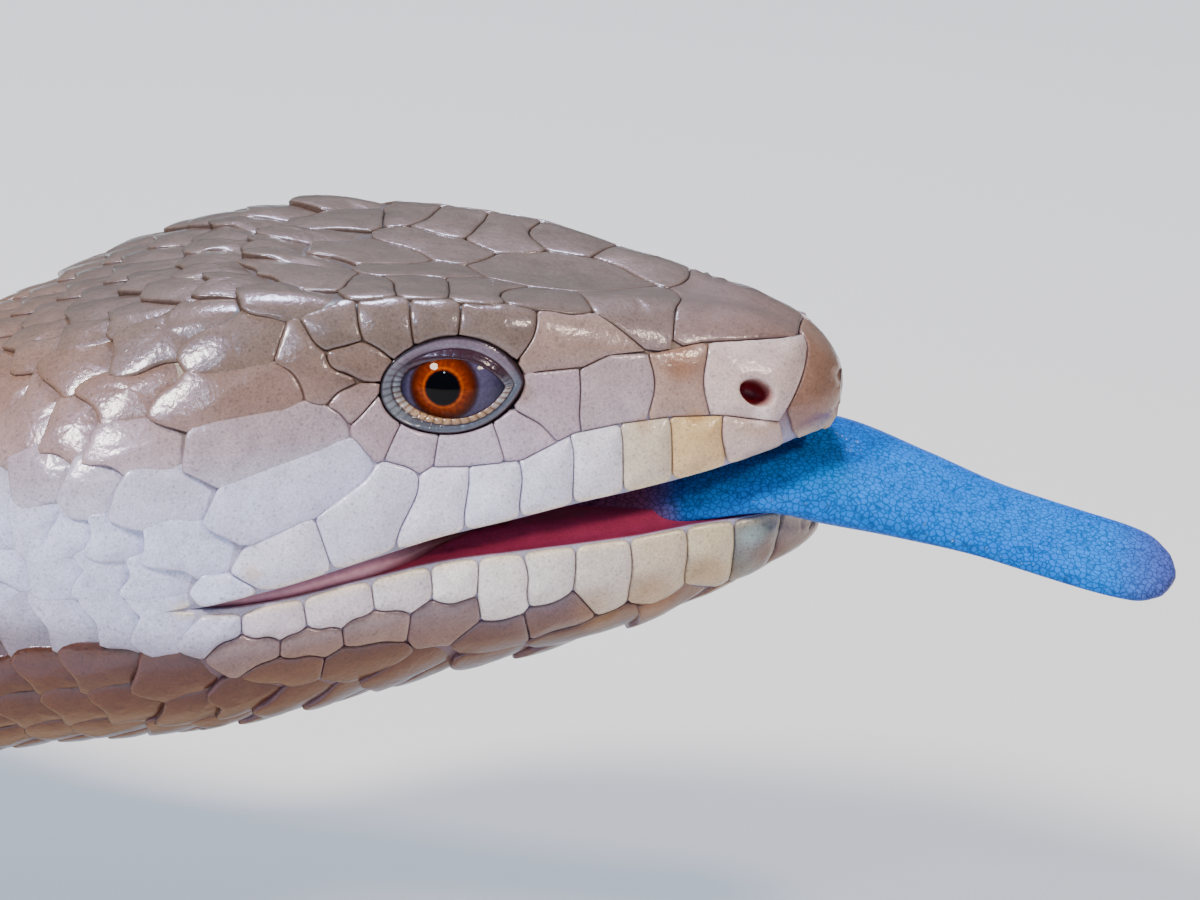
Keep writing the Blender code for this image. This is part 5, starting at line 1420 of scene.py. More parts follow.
            def inside(places: np.ndarray) -> np.ndarray:
                """Whether places are the shield's own: nearer to it than to others, clear of borders and lips."""
                own = distances(places - shift, line.ends[:1], line.ends[1:])[:, 0] - line.reach
                own -= self.lap_over * line.lap
                to_others = distances(places, starts[near], ends[near]) - reaches[near]
                soft = -rounding * np.log(np.exp(-(to_others - own[:, None]) / rounding).sum(axis=1))
                across = self.above_borders(places) * np.sign(sides[number])
                margin = soft / 2 - seam
                for border in range(across.shape[1]):
                    if sides[number][border] != 0:
                        wall = np.where(across[:, border] == 0, 9.0, across[:, border] - seam)
                        margin = np.minimum(margin, wall)
                lip = self.lip_distance(places, lips) - self.lip_clear
                r = self.lip_rounding
                joint = -r * np.log(np.exp(-np.clip(margin, -3, 9) / r) + np.exp(-np.clip(lip, -3, 9) / r))
                return (joint > 0) & (own < self.most) & self.allowed(places)

            made = self.plate(surface, line, inside)
            if made is None:
                continue
            rings, tops = made
            size = len(rings[0])
            flat = np.concatenate([*rings[:-1], rings[-1][:1]])
            faces += loft_faces(len(rings) - 1, size, count)
            faces += fan(count + (len(rings) - 2) * size, size, count + len(flat) - 1)
            faces.append(tuple(range(count + size - 1, count - 1, -1)))
            points.append(flat)
            hues.append(self.hues(flat, tops, TINTS.get(line.name), shade, lips))
            count += len(flat)
        flat = np.concatenate(points)
        return add_object(name, flat, faces, material, np.concatenate(hues), self.unwrap(flat))

    def shift_of(self, line: ShieldLine) -> np.ndarray:
        """How far a plate that overlaps its neighbours is moved towards the tail."""
        return self.form.rearwards(-float(line.ends[:, 0].mean())) * (self.lap_shift * line.lap)

    def plate(self, surface: Surface, line: ShieldLine,
              inside: Callable[[np.ndarray], np.ndarray]) -> tuple[list[np.ndarray], np.ndarray] | None:
        """The rings of one plate from its root at the rim to its middle.

        Args:
            surface: the smooth head.
            line: the shield's line.
            inside: tells which points belong to the shield.

        Returns:
            The rings, and how far from the rim each of their points lies, or None for a plate too small to shape.
        """
        is_nostril = line.name == "nasal"
        rays = self.small_rays if line.name in SMALL_SCALES else self.rays
        middle, normal = (row[0] for row in surface.nearest(self.middle_of(surface, line)[None]))
        first = line.ends[1] - line.ends[0]
        first = first if np.linalg.norm(first) > 0.1 else np.array([1.0, 0.0, 0.0])
        first = unit(first - normal * (first @ normal))
        angle = math.tau * np.arange(rays) / rays
        ways = np.cos(angle)[:, None] * first + np.sin(angle)[:, None] * np.cross(normal, first)
        far = march(surface, middle, ways, inside)
        if far.mean() < self.least_mean or far.min() < self.least_reach:
            return None
        back = self.form.rearwards(-middle[0]) - np.array([0.0, 0.0, 0.25])
        along = ways @ unit(back - normal * (back @ normal))
        lap = line.lap * min(1.0, far.mean() / 1.6)
        small = min(1.0, float(far.mean()) / 1.3)
        edge, shares, hole = PLATE_EDGE, PLATE_SHARES, np.zeros(rays)
        if is_nostril:
            hole = self.nostril_reach(ways, middle)
            edge, shares = (NOSTRIL_ROOT, *PLATE_EDGE[1:]), NOSTRIL_SHARES
        rings, tops = [], []
        for inset, level in edge:
            distance = far - inset * small
            rings.append((distance, level, np.clip(distance / far, 0.0, 1.0)))
            tops.append(np.full(rays, inset * small if level > 0 else -1.0))
        at_last = far - edge[-1][0] * small
        for share in shares:
            distance = hole + (at_last - hole) * share
            rings.append((distance, 1.0, distance / far))
            tops.append(far - distance)
        if is_nostril:
            for share, level in NOSTRIL_WALL:
                rings.append((hole * share, level, hole / far))
                tops.append(np.full(rays, NOSTRIL_TOP - level))
        else:
            rings.append((np.zeros(rays), 1.0, np.zeros(rays)))
            tops.append(far)
        height = self.height * (0.6 + 0.4 * small)
        swell = self.dome * (self.lip_dome if "lip" in line.name or is_nostril else self.lap_dome if lap else 1.0)
        made = []
        for distance, level, share in rings:
            base, facing = surface.nearest(middle + ways * distance[:, None])
            if level < 0 and not is_nostril:
                lift = np.full(rays, level)
            else:
                rise = swell * (1 - share ** 2) + self.lap_rise * lap * along * share
                lift = height * level + rise * (level > 0)
            made.append(base + facing * lift[:, None])
        return made, np.concatenate([*tops[:-1], tops[-1][:1]])

    def middle_of(self, surface: Surface, line: ShieldLine) -> np.ndarray:
        """Where a plate's rays start: in the nostril, on the snout's tip, or else in the middle of its line."""
        if line.name == "rostral":
            return np.array([SNOUT, 0.0, self.rostral_middle])
        if line.name == "nasal":
            nostril = surface.cast(*self.view.ray(*self.openings.nostril))
            return nostril * (1, 1 if line.ends[0][1] < 0 else -1, 1)
        return line.ends.mean(axis=0) + self.shift_of(line)

    def nostril_reach(self, ways: np.ndarray, middle: np.ndarray) -> np.ndarray:
        """How far the nostril's tilted oval reaches each way."""
        right, up, _ = self.view.axes()
        flip = (1, math.copysign(1.0, -middle[1]), 1)
        h, v = ways @ (right * flip), ways @ (up * flip)
        tilt = math.radians(self.openings.nostril_tilt)
        h, v = h * math.cos(tilt) + v * math.sin(tilt), v * math.cos(tilt) - h * math.sin(tilt)
        a, b = self.openings.nostril_reach
        return 1.0 / np.sqrt((h / a) ** 2 + (v / b) ** 2)

    def above_borders(self, places: np.ndarray) -> np.ndarray:
        """How far points lie above each border between two rows of shields, 0 beyond the border's ends."""
        h, v = self.view.seen(on_right(places))
        found = []
        for border in ROW_BORDERS:
            line = np.array(sorted(border))
            within = (h > line[0, 0]) & (h < line[-1, 0])
            found.append(np.where(within, v - np.interp(h, line[:, 0], line[:, 1]), 0.0))
        return np.stack(found, axis=1)

    @staticmethod
    def lip_distance(places: np.ndarray, lips: list[np.ndarray]) -> np.ndarray:
        """Distances of points from the nearer lip line."""
        mirrored = on_right(places)
        return np.min([distances(mirrored, lip[:-1], lip[1:]).min(axis=1) for lip in lips], axis=0)

    def allowed(self, places: np.ndarray) -> np.ndarray:
        """Whether shields may cover points: not the lids or the ear."""
        fine = places[:, 0] > -self.fill_to - 4.0
        share = self.openings.almond_share(places)
        reach = np.hypot(places[:, 0] - self.openings.almond_middle, places[:, 2])
        near = (np.abs(places[:, 1]) > BESIDE) & (reach < 8)
        fine &= ~(near & (reach * (1 - 1 / np.maximum(share, 1e-6)) < self.lid_clear))
        return fine & ((self.openings.ear_share(places, self.ear_clear) > 1) | (np.abs(places[:, 1]) < BESIDE))

    def hues(self, points: np.ndarray, tops: np.ndarray, tint: str | None, shade: float,
             lips: list[np.ndarray]) -> np.ndarray:
        """Colours of one plate: its own tint or the hide's, local stains and painted shade, a darker rim, cream along
        the lips, and a dark red painted shade down into the nostril.
        """
        place = self.markings.head(points)
        place = mixed(place, place.mean(axis=0), 0.6)
        hue = place if tint is None else mixed(linear(tint), place, self.place_share)
        h, v = self.view.seen(on_right(points))
        stains_and_shade = [(code, (1 - ramp(np.hypot(h - to_right, v - above), spread * 0.25, spread)) * strength)
                  for _, to_right, above, spread, code, strength in STAINS_AND_SHADE]
        cream = (1 - ramp(self.lip_distance(points, lips), 0.1, 0.8)) * 0.7
        hue = painted(hue * (1 + shade), *stains_and_shade, (HIDE.lip_edge, cream))
        seam, light = self.markings.seams(points)
        in_nostril = tops > NOSTRIL_TOP / 2
        rim = np.where(in_nostril, 0.0, (1 - ramp(tops, 0.0, 0.07)) * (0.65 - 0.25 * light))
        # darker red down into the nostril: painted shade
        deep = np.where(in_nostril, ramp(tops, NOSTRIL_TOP - 1.0, NOSTRIL_TOP + 2.0), 0.0)
        return painted(mixed(hue, seam, rim), (HIDE.nostril, deep))

    def unwrap(self, points: np.ndarray) -> np.ndarray:
        """Each point's place on the unwrap of the head: along and round."""
        along = (points[:, 0] + self.fill_to + 4.0) / (self.fill_to + 4.0 + SNOUT + 1.0)
        turn = np.arctan2(points[:, 1], -(points[:, 2] + 9.0)) / math.tau + 0.5
        return np.stack([0.02 + 0.96 * along, 0.02 + 0.96 * turn], axis=1)


def on_right(places: np.ndarray) -> np.ndarray:
    """Points mirrored to the animal's right side."""
    return places * (1, 0, 1) - np.abs(places) * (0, 1, 0)


def distances(points: np.ndarray, starts: np.ndarray, ends: np.ndarray) -> np.ndarray:
    """Distances of many points from many lines, one row for each point."""
    along = ends - starts
    length = np.maximum((along * along).sum(axis=1), 1e-9)
    share = np.clip(((points[:, None] - starts) * along).sum(axis=2) / length, 0.0, 1.0)
    return np.linalg.norm(points[:, None] - starts - share[:, :, None] * along, axis=2)


def march(surface: Surface, middle: np.ndarray, ways: np.ndarray,
          inside: Callable[[np.ndarray], np.ndarray], step: float = 0.35, farthest: float = 9.0) -> np.ndarray:
    """How far from a middle each way stays inside, along the surface.

    Args:
        surface: the surface to follow.
        middle: the start.
        ways: directions in the plane that touches the surface there.
        inside: tells which points are inside.
        step: length of a first step.
        farthest: where a way ends at the latest.

    Returns:
        A distance for each way.
    """
    far = np.zeros(len(ways))
    going = np.ones(len(ways), bool)
    while going.any() and far.max() < farthest:
        tried = middle + ways[going] * (far[going] + step)[:, None]
        good = inside(surface.raw(tried))
        number = np.flatnonzero(going)
        far[number[good]] += step
        going[number[~good]] = False
    low, high = far, far + step
    for _ in range(6):
        half = (low + high) / 2
        good = inside(surface.raw(middle + ways * half[:, None]))
        low, high = np.where(good, half, low), np.where(good, high, half)
    return low


# Rings of the lids: share of the way from the socket's edge to the ball, lift, how much the ridges show, and the band
# of colour: 0 furrow in painted shade, 1 outer lid, 2 groove in painted shade, 3 margin, 4 wet edge in painted shade.
LID_PROFILE = (
    (-0.16, -0.3, 0.0, 0), (-0.06, -0.02, 0.0, 0), (0.02, 0.12, 0.0, 0), (0.12, 0.30, 0.0, 1), (0.26, 0.38, 0.1, 1),
    (0.42, 0.34, 0.3, 1), (0.52, 0.22, 0.5, 2), (0.62, 0.3, 1.0, 3), (0.78, 0.3, 1.0, 3), (0.92, 0.2, 0.8, 3),
    (1.0, 0.06, 0.2, 4), (1.04, -0.5, 0.0, 4), (0.7, -1.6, 0.0, 4),
)


@dataclass
class Eye:
    """One eye ball with its iris, and the ring of fine scales on its lids."""

    view: Viewpoint
    openings: Openings
    side: Side
    iris: float = 2.02
    pupil: float = 1.13
    cornea_rise: float = 0.28
    cornea_reach: float = 3.2
    around: int = 128
    up: int = 120
    beads: int = 40
    # slate, painted highlight on the bead crests, painted shade of the furrow and groove, bronze, painted shade under
    # the upper lid and at the wet edge, and the upper lid's purple-grey
    lid_colours: tuple[str, ...] = ("#4C5464", "#93A2B6", "#2E2228", "#9C7638", "#2C0C12", "#6A5C70")

    @property
    def centre(self) -> np.ndarray:
        """The ball's middle."""
        return np.array([EYE_CENTRE[0], self.side * EYE_CENTRE[1], EYE_CENTRE[2]])

    def gaze(self) -> tuple[np.ndarray, np.ndarray]:
        """The iris's middle on the ball and the way it faces, as the right eye's or mirrored."""
        centre = np.array([EYE_CENTRE[0], -EYE_CENTRE[1], EYE_CENTRE[2]])
        reach = np.array(EYE_REACH)
        start, way = self.view.ray(0.0, 0.0)
        p, d = (start - centre) / reach, way / reach
        a, b, c = d @ d, p @ d, p @ p - 1
        spot = start + way * ((-b - math.sqrt(b * b - a * c)) / a)
        flip = (1, -self.side, 1)
        return spot * flip, unit(spot - centre) * flip

    def build_ball(self, material: bpy.types.Material) -> bpy.types.Object:
        """The ball, finer round the iris, with the cornea's bulge in front of it."""
        centre, reach = self.centre, np.array(EYE_REACH)
        spot, out = self.gaze()
        across = unit(np.cross(out, (0.0, 0.0, 1.0)))
        high = np.cross(across, out)
        angle = math.tau * np.arange(self.around) / self.around
        rings = []
        for polar in (np.linspace(0.0, 1.0, self.up + 1)[1:-1] ** 1.9) * math.pi:
            facing = (math.cos(polar) * out + math.sin(polar)
                      * (np.cos(angle)[:, None] * across + np.sin(angle)[:, None] * high))
            ring = centre + facing * reach
            away = np.linalg.norm((ring - spot) - ((ring - spot) @ out)[:, None] * out, axis=1)
            bulge = self.cornea_rise * (1 - ramp(away, 0.0, self.cornea_reach)) * (math.cos(polar) > 0)
            rings.append(ring + out * bulge[:, None])
        points = np.concatenate([*rings, [centre + out * reach + out * self.cornea_rise], [centre - out * reach]])
        hue = self.ball_hues(points, spot, out, across, high)
        return add_object(f"eye_ball_{self.side.word}", points, capped_loft(len(rings), self.around), material, hue,
                          closed=True)

    def ball_hues(self, points: np.ndarray, spot: np.ndarray, out: np.ndarray, across: np.ndarray,
                  high: np.ndarray) -> np.ndarray:
        """Pupil, iris and the coloured white of the eye, with painted shade from the upper lid."""
        a, b = (points - spot) @ across, (points - spot) @ high
        forward = a * math.copysign(1.0, across[0])
        away, turn = np.hypot(a, b), np.arctan2(b, a)
        streak = np.array([noise.noise(Vector((math.cos(t) * 9, math.sin(t) * 9, r * 1.5)))
                           for t, r in zip(turn, away)])
        white = painted(
            "#43405E",
            ("#0C1226", ramp(forward, 2.5, 4.0)),
            # painted shade of the upper lid over the top of the ball
            ("#4A3444", ramp(b, 1.2, 2.8) * 0.8),
            ("#2A1A22", 1 - ramp(np.abs(away - self.iris - 0.08), 0.0, 0.22)),
        )
        # the iris's orange-brown, kept dark as partly painted shade
        hue = painted(
            "#5C1C02",
            ("#7E3006", np.clip(0.25 + 0.9 * streak, 0, 1)),
            ("#381002", ramp(away, self.iris * 0.7, self.iris)),
            ("#B8580E", (1 - ramp(np.abs(away - self.pupil - 0.12), 0.0, 0.12)) * 0.4),
            ("#020308", 1 - ramp(away, self.pupil - 0.07, self.pupil + 0.04)),
        )
        hue = mixed(hue, white, ramp(away, self.iris - 0.05, self.iris + 0.1))
        return np.where((((points - spot) @ out) < -5.0)[:, None], np.array(linear("#4A3444")), hue)

    def build_lids(self, surface: Surface, material: bpy.types.Material) -> bpy.types.Object:
        """Both lids as one ring: a smooth outer band, a ridged margin within it, and an edge that rests on the ball.

        Args:
            surface: the smooth head round the eye.
            material: the lids' finish.

        Returns:
            The ring, closed behind the lids.
        """
        count = self.beads * 8
        angle = math.tau * np.arange(count) / count
        outer, inner = self.openings.almond(angle), self.openings.slit(angle)
        outer[:, 0] += self.openings.almond_middle
        ridge = np.abs(np.sin(angle * self.beads / 2)) ** 0.6
        start = np.stack([outer[:, 0], np.full(count, self.side * 22.0), outer[:, 1]], axis=1)
        edge = np.array([surface.cast(p, (0.0, -self.side, 0.0))[1] for p in start])
        centre = self.centre
        rings, hues = [], []
        for share, lift, ridged, band in LID_PROFILE:
            flat = outer + (inner - outer) * share
            x, z = flat[:, 0] - centre[0], flat[:, 1] - centre[2]
            bulge = np.sqrt(np.maximum(1 - (x / EYE_REACH[0]) ** 2 - (z / EYE_REACH[2]) ** 2, 0.05)) * EYE_REACH[1]
            on_ball = centre[1] + self.side * bulge
            blend = float(np.clip(share, 0.0, 1.0)) ** 0.8
            shown = ridged * (1 - 0.85 * ramp(np.sin(angle), 0.0, 0.5))
            y = edge + (on_ball - edge) * blend + self.side * lift * (1 - 0.35 * shown * (1 - ridge))
            rings.append(np.stack([flat[:, 0], y, flat[:, 1]], axis=1))
            hues.append(self.lid_hues(band, ridge, angle))
        points = np.concatenate(rings)
        faces = [tuple(corner % len(points) for corner in f) for f in loft_faces(len(rings) + 1, count)]
        return add_object(f"lids_{self.side.word}", points, faces, material, np.concatenate(hues), closed=True)

    def lid_hues(self, band: int, ridge: np.ndarray, angle: np.ndarray) -> np.ndarray:
        """Colours of one ring of the lids: a furrow in painted shade, then slate with painted highlights on the bead
        crests, a bronze margin with painted shade between the beads and a maroon painted shade under the upper lid, and
        the wet edge in painted shade.
        """
        slate, pale, groove, bronze, deep, upper = (np.tile(linear(code), (len(angle), 1)) for code in self.lid_colours)
        below, above = ramp(-np.sin(angle), -0.1, 0.45), ramp(np.sin(angle), 0.1, 0.6)
        behind = ramp(-np.cos(angle), 0.55, 0.95)
        if band == 0:
            return groove
        if band == 1:
            # painted highlight on the bead crests towards the back
            return mixed(mixed(slate, upper, above * 0.8), pale, behind * ridge * 0.6)
        if band == 2:
            return mixed(groove, deep, above)
        if band == 3:
            margin = mixed(slate, bronze, below)
            # painted highlights on the bead crests, painted shade between the beads and under the upper lid
            lit = mixed(margin, pale, ridge * (0.2 + 0.6 * behind))
            front = ramp(np.cos(angle), 0.6, 0.9) * below
            lit = mixed(lit, pale, front * ridge * 0.8)
            return mixed(mixed(groove, lit, 0.3 + 0.7 * ridge), deep, above * 0.95)
        return deep


# The tongue: x, height, half width and half thickness along its middle.
TONGUE_KNOTS = (
    (-3.0, -11.0, 5.5, 1.0), (5.0, -10.2, 7.0, 1.6), (13.0, -8.9, 7.0, 1.5), (20.0, -8.1, 6.2, 1.6),
    (24.0, -8.8, 6.0, 1.8), (29.0, -10.2, 5.2, 1.4), (35.0, -12.1, 4.4, 0.95), (40.0, -13.6, 4.4, 0.9),
    (43.6, -14.6, 4.1, 0.8), (44.9, -15.0, 3.1, 0.65), (45.6, -15.2, 2.0, 0.5), (45.95, -15.3, 0.7, 0.3),
)


@dataclass
class Tongue:
    """The broad blue tongue, pebbled all over by small papillae."""

    roll: float = -14.0
    groove: float = 0.16         # depth of the furrow along its middle, in half thicknesses
    groove_width: float = 0.22
    along: int = 190
    around: int = 96
    blue: str = "#0064CC"
    # a painted highlight along the top
    pale: str = "#0080E0"
    # painted shade of the underside
    deep: str = "#0044A8"
    tip: str = "#4E4C94"
    root: str = "#86486C"        # the part that stays in the mouth is purple

    def build(self, material: bpy.types.Material) -> bpy.types.Object:
        """The tongue as one closed mesh."""
        knots = np.array([(x, 0.0, z, wide, high) for x, z, wide, high in TONGUE_KNOTS])
        lengths = running_length(knots[:, :3])
        rows = smooth_track(lengths, knots)(np.linspace(0.0, lengths[-1], self.along))
        angle = math.tau * np.arange(self.around) / self.around
        turn = math.radians(self.roll)
        rings = []
        for i, row in enumerate(rows):
            ahead = unit(rows[min(i + 1, len(rows) - 1), :3] - rows[max(i - 1, 0), :3])
            side = unit(np.cross(ahead, (0.0, 0.0, 1.0)))
            high = np.cross(side, ahead)
            c, s = np.cos(angle) * row[3], np.sin(angle) * row[4]
            s = s - self.groove * row[4] * np.exp(-(c / (self.groove_width * row[3])) ** 2) * (s > 0)
            c, s = c * math.cos(turn) - s * math.sin(turn), c * math.sin(turn) + s * math.cos(turn)
            rings.append(row[:3] + side * c[:, None] + high * s[:, None])
        first = rows[0, :3] * 1.1 - rows[3, :3] * 0.1
        last = rows[-1, :3] + (rows[-1, :3] - rows[-3, :3]) * 0.2
        points = np.concatenate([*rings, [first], [last]])
        up = np.concatenate([np.tile(np.sin(angle), len(rings)), [0.0], [0.0]])
        inside = 1 - ramp(points[:, 0] + 0.9 * up + cloud(points, 2.0, 4.0), 12.0, 15.5)
        hue = painted(
            self.blue,
            # lighter on top as painted highlight, darker below as painted shade
            (self.pale, ramp(up + cloud(points, 3.0, 9.0) * 0.5, 0.2, 1.0) * 0.4),
            (self.deep, ramp(-up, 0.1, 0.9) * 0.45),
            (self.tip, ramp(points[:, 0], 41.0, 46.0) * 0.8),
            (self.root, inside * 0.95),
        )
        return add_object("tongue_pebbled", points, capped_loft(len(rings), self.around), material, hue, closed=True)


# Legs: distance behind the eyes, sideways reach, height above the floor, radius.
LEGS = {
    "fore": ((78.0, 10.0, 19.0, 8.0), (81.0, 21.0, 18.0, 8.2), (86.0, 31.0, 15.0, 7.2), (86.0, 38.0, 11.5, 6.2),
             (80.0, 43.0, 8.6, 5.4), (73.0, 46.5, 6.2, 4.3), (69.5, 48.0, 5.0, 3.9)),
    "hind": ((239.0, 8.0, 18.0, 9.0), (234.0, 20.0, 18.0, 9.4), (226.0, 31.0, 16.5, 8.4), (224.0, 38.0, 13.4, 7.0),
             (228.0, 44.0, 9.6, 5.7), (232.5, 48.5, 6.4, 4.5), (234.0, 50.0, 5.4, 4.2)),
}
LEG_SHIFT = {
    ("fore", Side.RIGHT): 0.0, ("fore", Side.LEFT): 9.0, ("hind", Side.RIGHT): 6.0, ("hind", Side.LEFT): -5.0,
}
KINDS = ("fore", "hind")
FOOT_STATION = {"fore": 70.0, "hind": 234.0}
FOOT_TURN = {"fore": 26.0, "hind": 46.0}
TOES = {
    "fore": ((5.6, 52.0), (7.8, 24.0), (8.8, 0.0), (8.2, -24.0), (5.8, -50.0)),
    "hind": ((5.4, 48.0), (7.8, 24.0), (9.6, 4.0), (10.4, -16.0), (7.4, -46.0)),
}


@dataclass
class Tube:
    """A round tube along a path, with a way to find points on it."""

    path: np.ndarray
    radii: np.ndarray
    flat: float = 1.0

    def frames(self) -> tuple[np.ndarray, np.ndarray, np.ndarray]:
        """Along, across and up at each place of the path."""
        along = units(np.gradient(self.path, axis=0))
        across = units(np.cross(along, (0.0, 0.0, 1.0)))
        return along, across, np.cross(across, along)

    def solid(self, sides: int = 24) -> tuple[np.ndarray, list]:
        """Points and faces of the closed tube."""
        _, across, up = self.frames()
        angle = math.tau * np.arange(sides) / sides
        rings = [p + r * (np.cos(angle)[:, None] * a + np.sin(angle)[:, None] * u * self.flat)
                 for p, r, a, u in zip(self.path, self.radii, across, up)]
        first, last = self.path[0] * 1.4 - self.path[1] * 0.4, self.path[-1] * 1.3 - self.path[-2] * 0.3
        return np.concatenate([*rings, [first], [last]]), capped_loft(len(rings), sides)

    def length(self) -> float:
        """The length of its path."""
        return float(np.linalg.norm(np.diff(self.path, axis=0), axis=1).sum())

    def spots(self, share: float, angles: np.ndarray) -> tuple[np.ndarray, np.ndarray, np.ndarray]:
        """Points on the tube at one place along it, with the directions along it and outwards there."""
        rows, place = np.arange(len(self.path)), share * (len(self.path) - 1)
        middle, along, across, up = (np.array([np.interp(place, rows, part[:, k]) for k in range(3)])
                                     for part in (self.path, *self.frames()))
        radius = float(np.interp(place, rows, self.radii))
        c, s = np.cos(angles)[:, None], np.sin(angles)[:, None]
        outward = units(c * across * self.flat + s * up)
        return middle + radius * (c * across + s * self.flat * up), np.tile(along, (len(angles), 1)), outward


@dataclass
class Limb:
    """One leg with its foot, toes and claws."""

    form: AnimalForm
    kind: str
    side: Side
    palm_ahead: float = 5.0      # from the wrist to the palm, and how high it lies
    palm_height: float = 2.7
    toe_height: float = 2.4
    toe_joint: float = 2.4       # from a toe's root to its first joint
    toe_radius: float = 1.75
    claw_length: float = 3.2
    tubes: list[Tube] = field(default_factory=list)
    claws: list[Tube] = field(default_factory=list)

    @property
    def name(self) -> str:
        """The limb's kind and side, such as fore_right."""
        return f"{self.kind}_{self.side.word}"

    def leg(self) -> Tube:
        """The leg from the body's side to the wrist."""
        shift = LEG_SHIFT[self.kind, self.side]
        knots = []
        for behind, across, high, radius in LEGS[self.kind]:
            share = min(max((across - 20.0) / 20.0, 0.0), 1.0)
            point = self.form.in_place(np.array([behind + shift * share]), np.array([self.side * across]),
                                       np.array([FLOOR + high]))[0]
            knots.append((*point, radius))
        return smooth_tube(knots, 40, 0.92)

    def directions(self) -> tuple[np.ndarray, np.ndarray]:
        """Level directions of the foot: ahead and outwards."""
        behind = FOOT_STATION[self.kind] + LEG_SHIFT[self.kind, self.side]
        back = self.form.rearwards(behind)
        heading = math.atan2(-back[1], -back[0]) + self.side * math.radians(FOOT_TURN[self.kind])
        ahead = np.array([math.cos(heading), math.sin(heading), 0.0])
        return ahead, np.array([-math.sin(heading), math.cos(heading), 0.0]) * self.side

    def lay_out(self) -> None:
        """Works out the tubes of the leg, the heel, the toes and the claws."""
        leg = self.leg()
        wrist, thick = leg.path[-1], leg.radii[-1]
        ahead, outward = self.directions()
        palm = np.array([wrist[0], wrist[1], FLOOR + self.palm_height]) + ahead * self.palm_ahead
        before = leg.path[-4]
        self.tubes = [leg, smooth_tube([(*before, thick), (*wrist, thick), (*(wrist + palm) / 2 + (0, 0, 0.4), 4.3),
                                        (*palm, 3.4), (*(palm + ahead * 3.4 - (0, 0, 0.4)), 2.4)], 16, 0.86)]
        for length, spread in TOES[self.kind]:
            angle = math.radians(spread)
            out = ahead * math.cos(angle) - outward * math.sin(angle)
            root = palm + ahead * 1.6 - outward * math.sin(angle) * 3.2
            root[2] = FLOOR + self.toe_height
            knuckle = root + out * (self.toe_joint + 0.55 * length) + (0, 0, 0.6)
            tip = root + out * (self.toe_joint + length) - (0, 0, 1.1)
            r = self.toe_radius
            toe = [(*(root - out * self.toe_joint), r), (*root, r * 1.1), (*knuckle, r), (*tip, r * 0.72)]
            self.tubes.append(smooth_tube(toe, 18))
            claw = [(*(tip - out * 0.8 + (0, 0, 0.35)), 0.8), (*(tip + out * 0.6 + (0, 0, 0.62)), 0.78),
                    (*(tip + out * 0.55 * self.claw_length + (0, 0, 0.4)), 0.55),
                    (*(tip + out * 0.93 * self.claw_length + (0, 0, -0.5)), 0.12)]
            self.claws.append(smooth_tube(claw, 12, 1.15))

    def add_bodies(self, markings: Markings, material: bpy.types.Material) -> list[bpy.types.Object]:
        """Closed meshes of the leg, the foot and the toes, to be joined into the skin."""
        made = []
        for number, tube in enumerate(self.tubes):
            points, faces = tube.solid(28 if number < 2 else 14)
            points[:, 2] = np.maximum(points[:, 2], FLOOR + 2 * FLOOR_CLEAR)
            made.append(add_object(f"{self.name}_{number}", points, faces, material, markings.limb(points),
                                   closed=True))
        return made

    def add_claws(self, material: bpy.types.Material) -> bpy.types.Object:
        """All the claws of the foot as one piece."""
        points, faces, count = [], [], 0
        for claw in self.claws:
            own_points, own_faces = claw.solid(16)
            faces += [tuple(corner + count for corner in face) for face in own_faces]
            points.append(own_points)
            count += len(own_points)
        return add_object(f"claws_{self.name}", np.concatenate(points), faces, material, closed=True)


def smooth_tube(knots: Sequence[Sequence[float]], count: int, flat: float = 1.0) -> Tube:
    """A tube along a smooth curve through (x, y, z, radius) knots."""
    rows = np.array(knots, float)
    lengths = running_length(rows[:, :3])
    made = smooth_track(lengths, rows)(np.linspace(0.0, lengths[-1], count))
    return Tube(made[:, :3], made[:, 3], flat)


# The small scales of the body, legs and feet

def scale_template() -> bpy.types.Object:
    """One scale, one unit long, wide and high: tucked in at its front, rounded and free at its rear."""
    outline = [(-0.5, 0.0), (-0.42, 0.27), (-0.18, 0.46), (0.1, 0.5), (0.33, 0.38), (0.46, 0.2), (0.5, 0.0)]
    outline += [(x, -y) for x, y in outline[-2:0:-1]]
    ring = np.array(outline)
    rows = []
    for share, lift in ((1.0, 0.0), (1.0, 0.55), (0.93, 0.84), (0.62, 1.0)):
        bend = -0.55 * (ring[:, 1] * share) ** 2
        slope = 0.95 * (ring[:, 0] * share + 0.5)
        rows.append(np.column_stack([ring * share, lift * 0.55 + slope * 0.9 + bend * 1.2 - 0.5]))
    points = np.concatenate([*rows, [(0.0, 0.0, 0.55 + 0.43 - 0.5)]])
    size = len(ring)
    faces = loft_faces(len(rows), size) + fan((len(rows) - 1) * size, size, len(points) - 1)
    faces.append(tuple(range(size - 1, -1, -1)))
    mesh = bpy.data.meshes.new("scale_shape")
    mesh.from_pydata(points.tolist(), [], faces)
    # how far up its side a point lies, for the painted shade at a scale's rim
    write_values(mesh, RIM, "FLOAT", [0.0] * size + [0.15] * size + [0.6] * size + [1.0] * (size + 1))
    write_values(mesh, "local", "FLOAT_VECTOR", points)
    mesh.shade_smooth()
    made = linked("scale_shape", mesh)
    face_outwards(made)
    return made


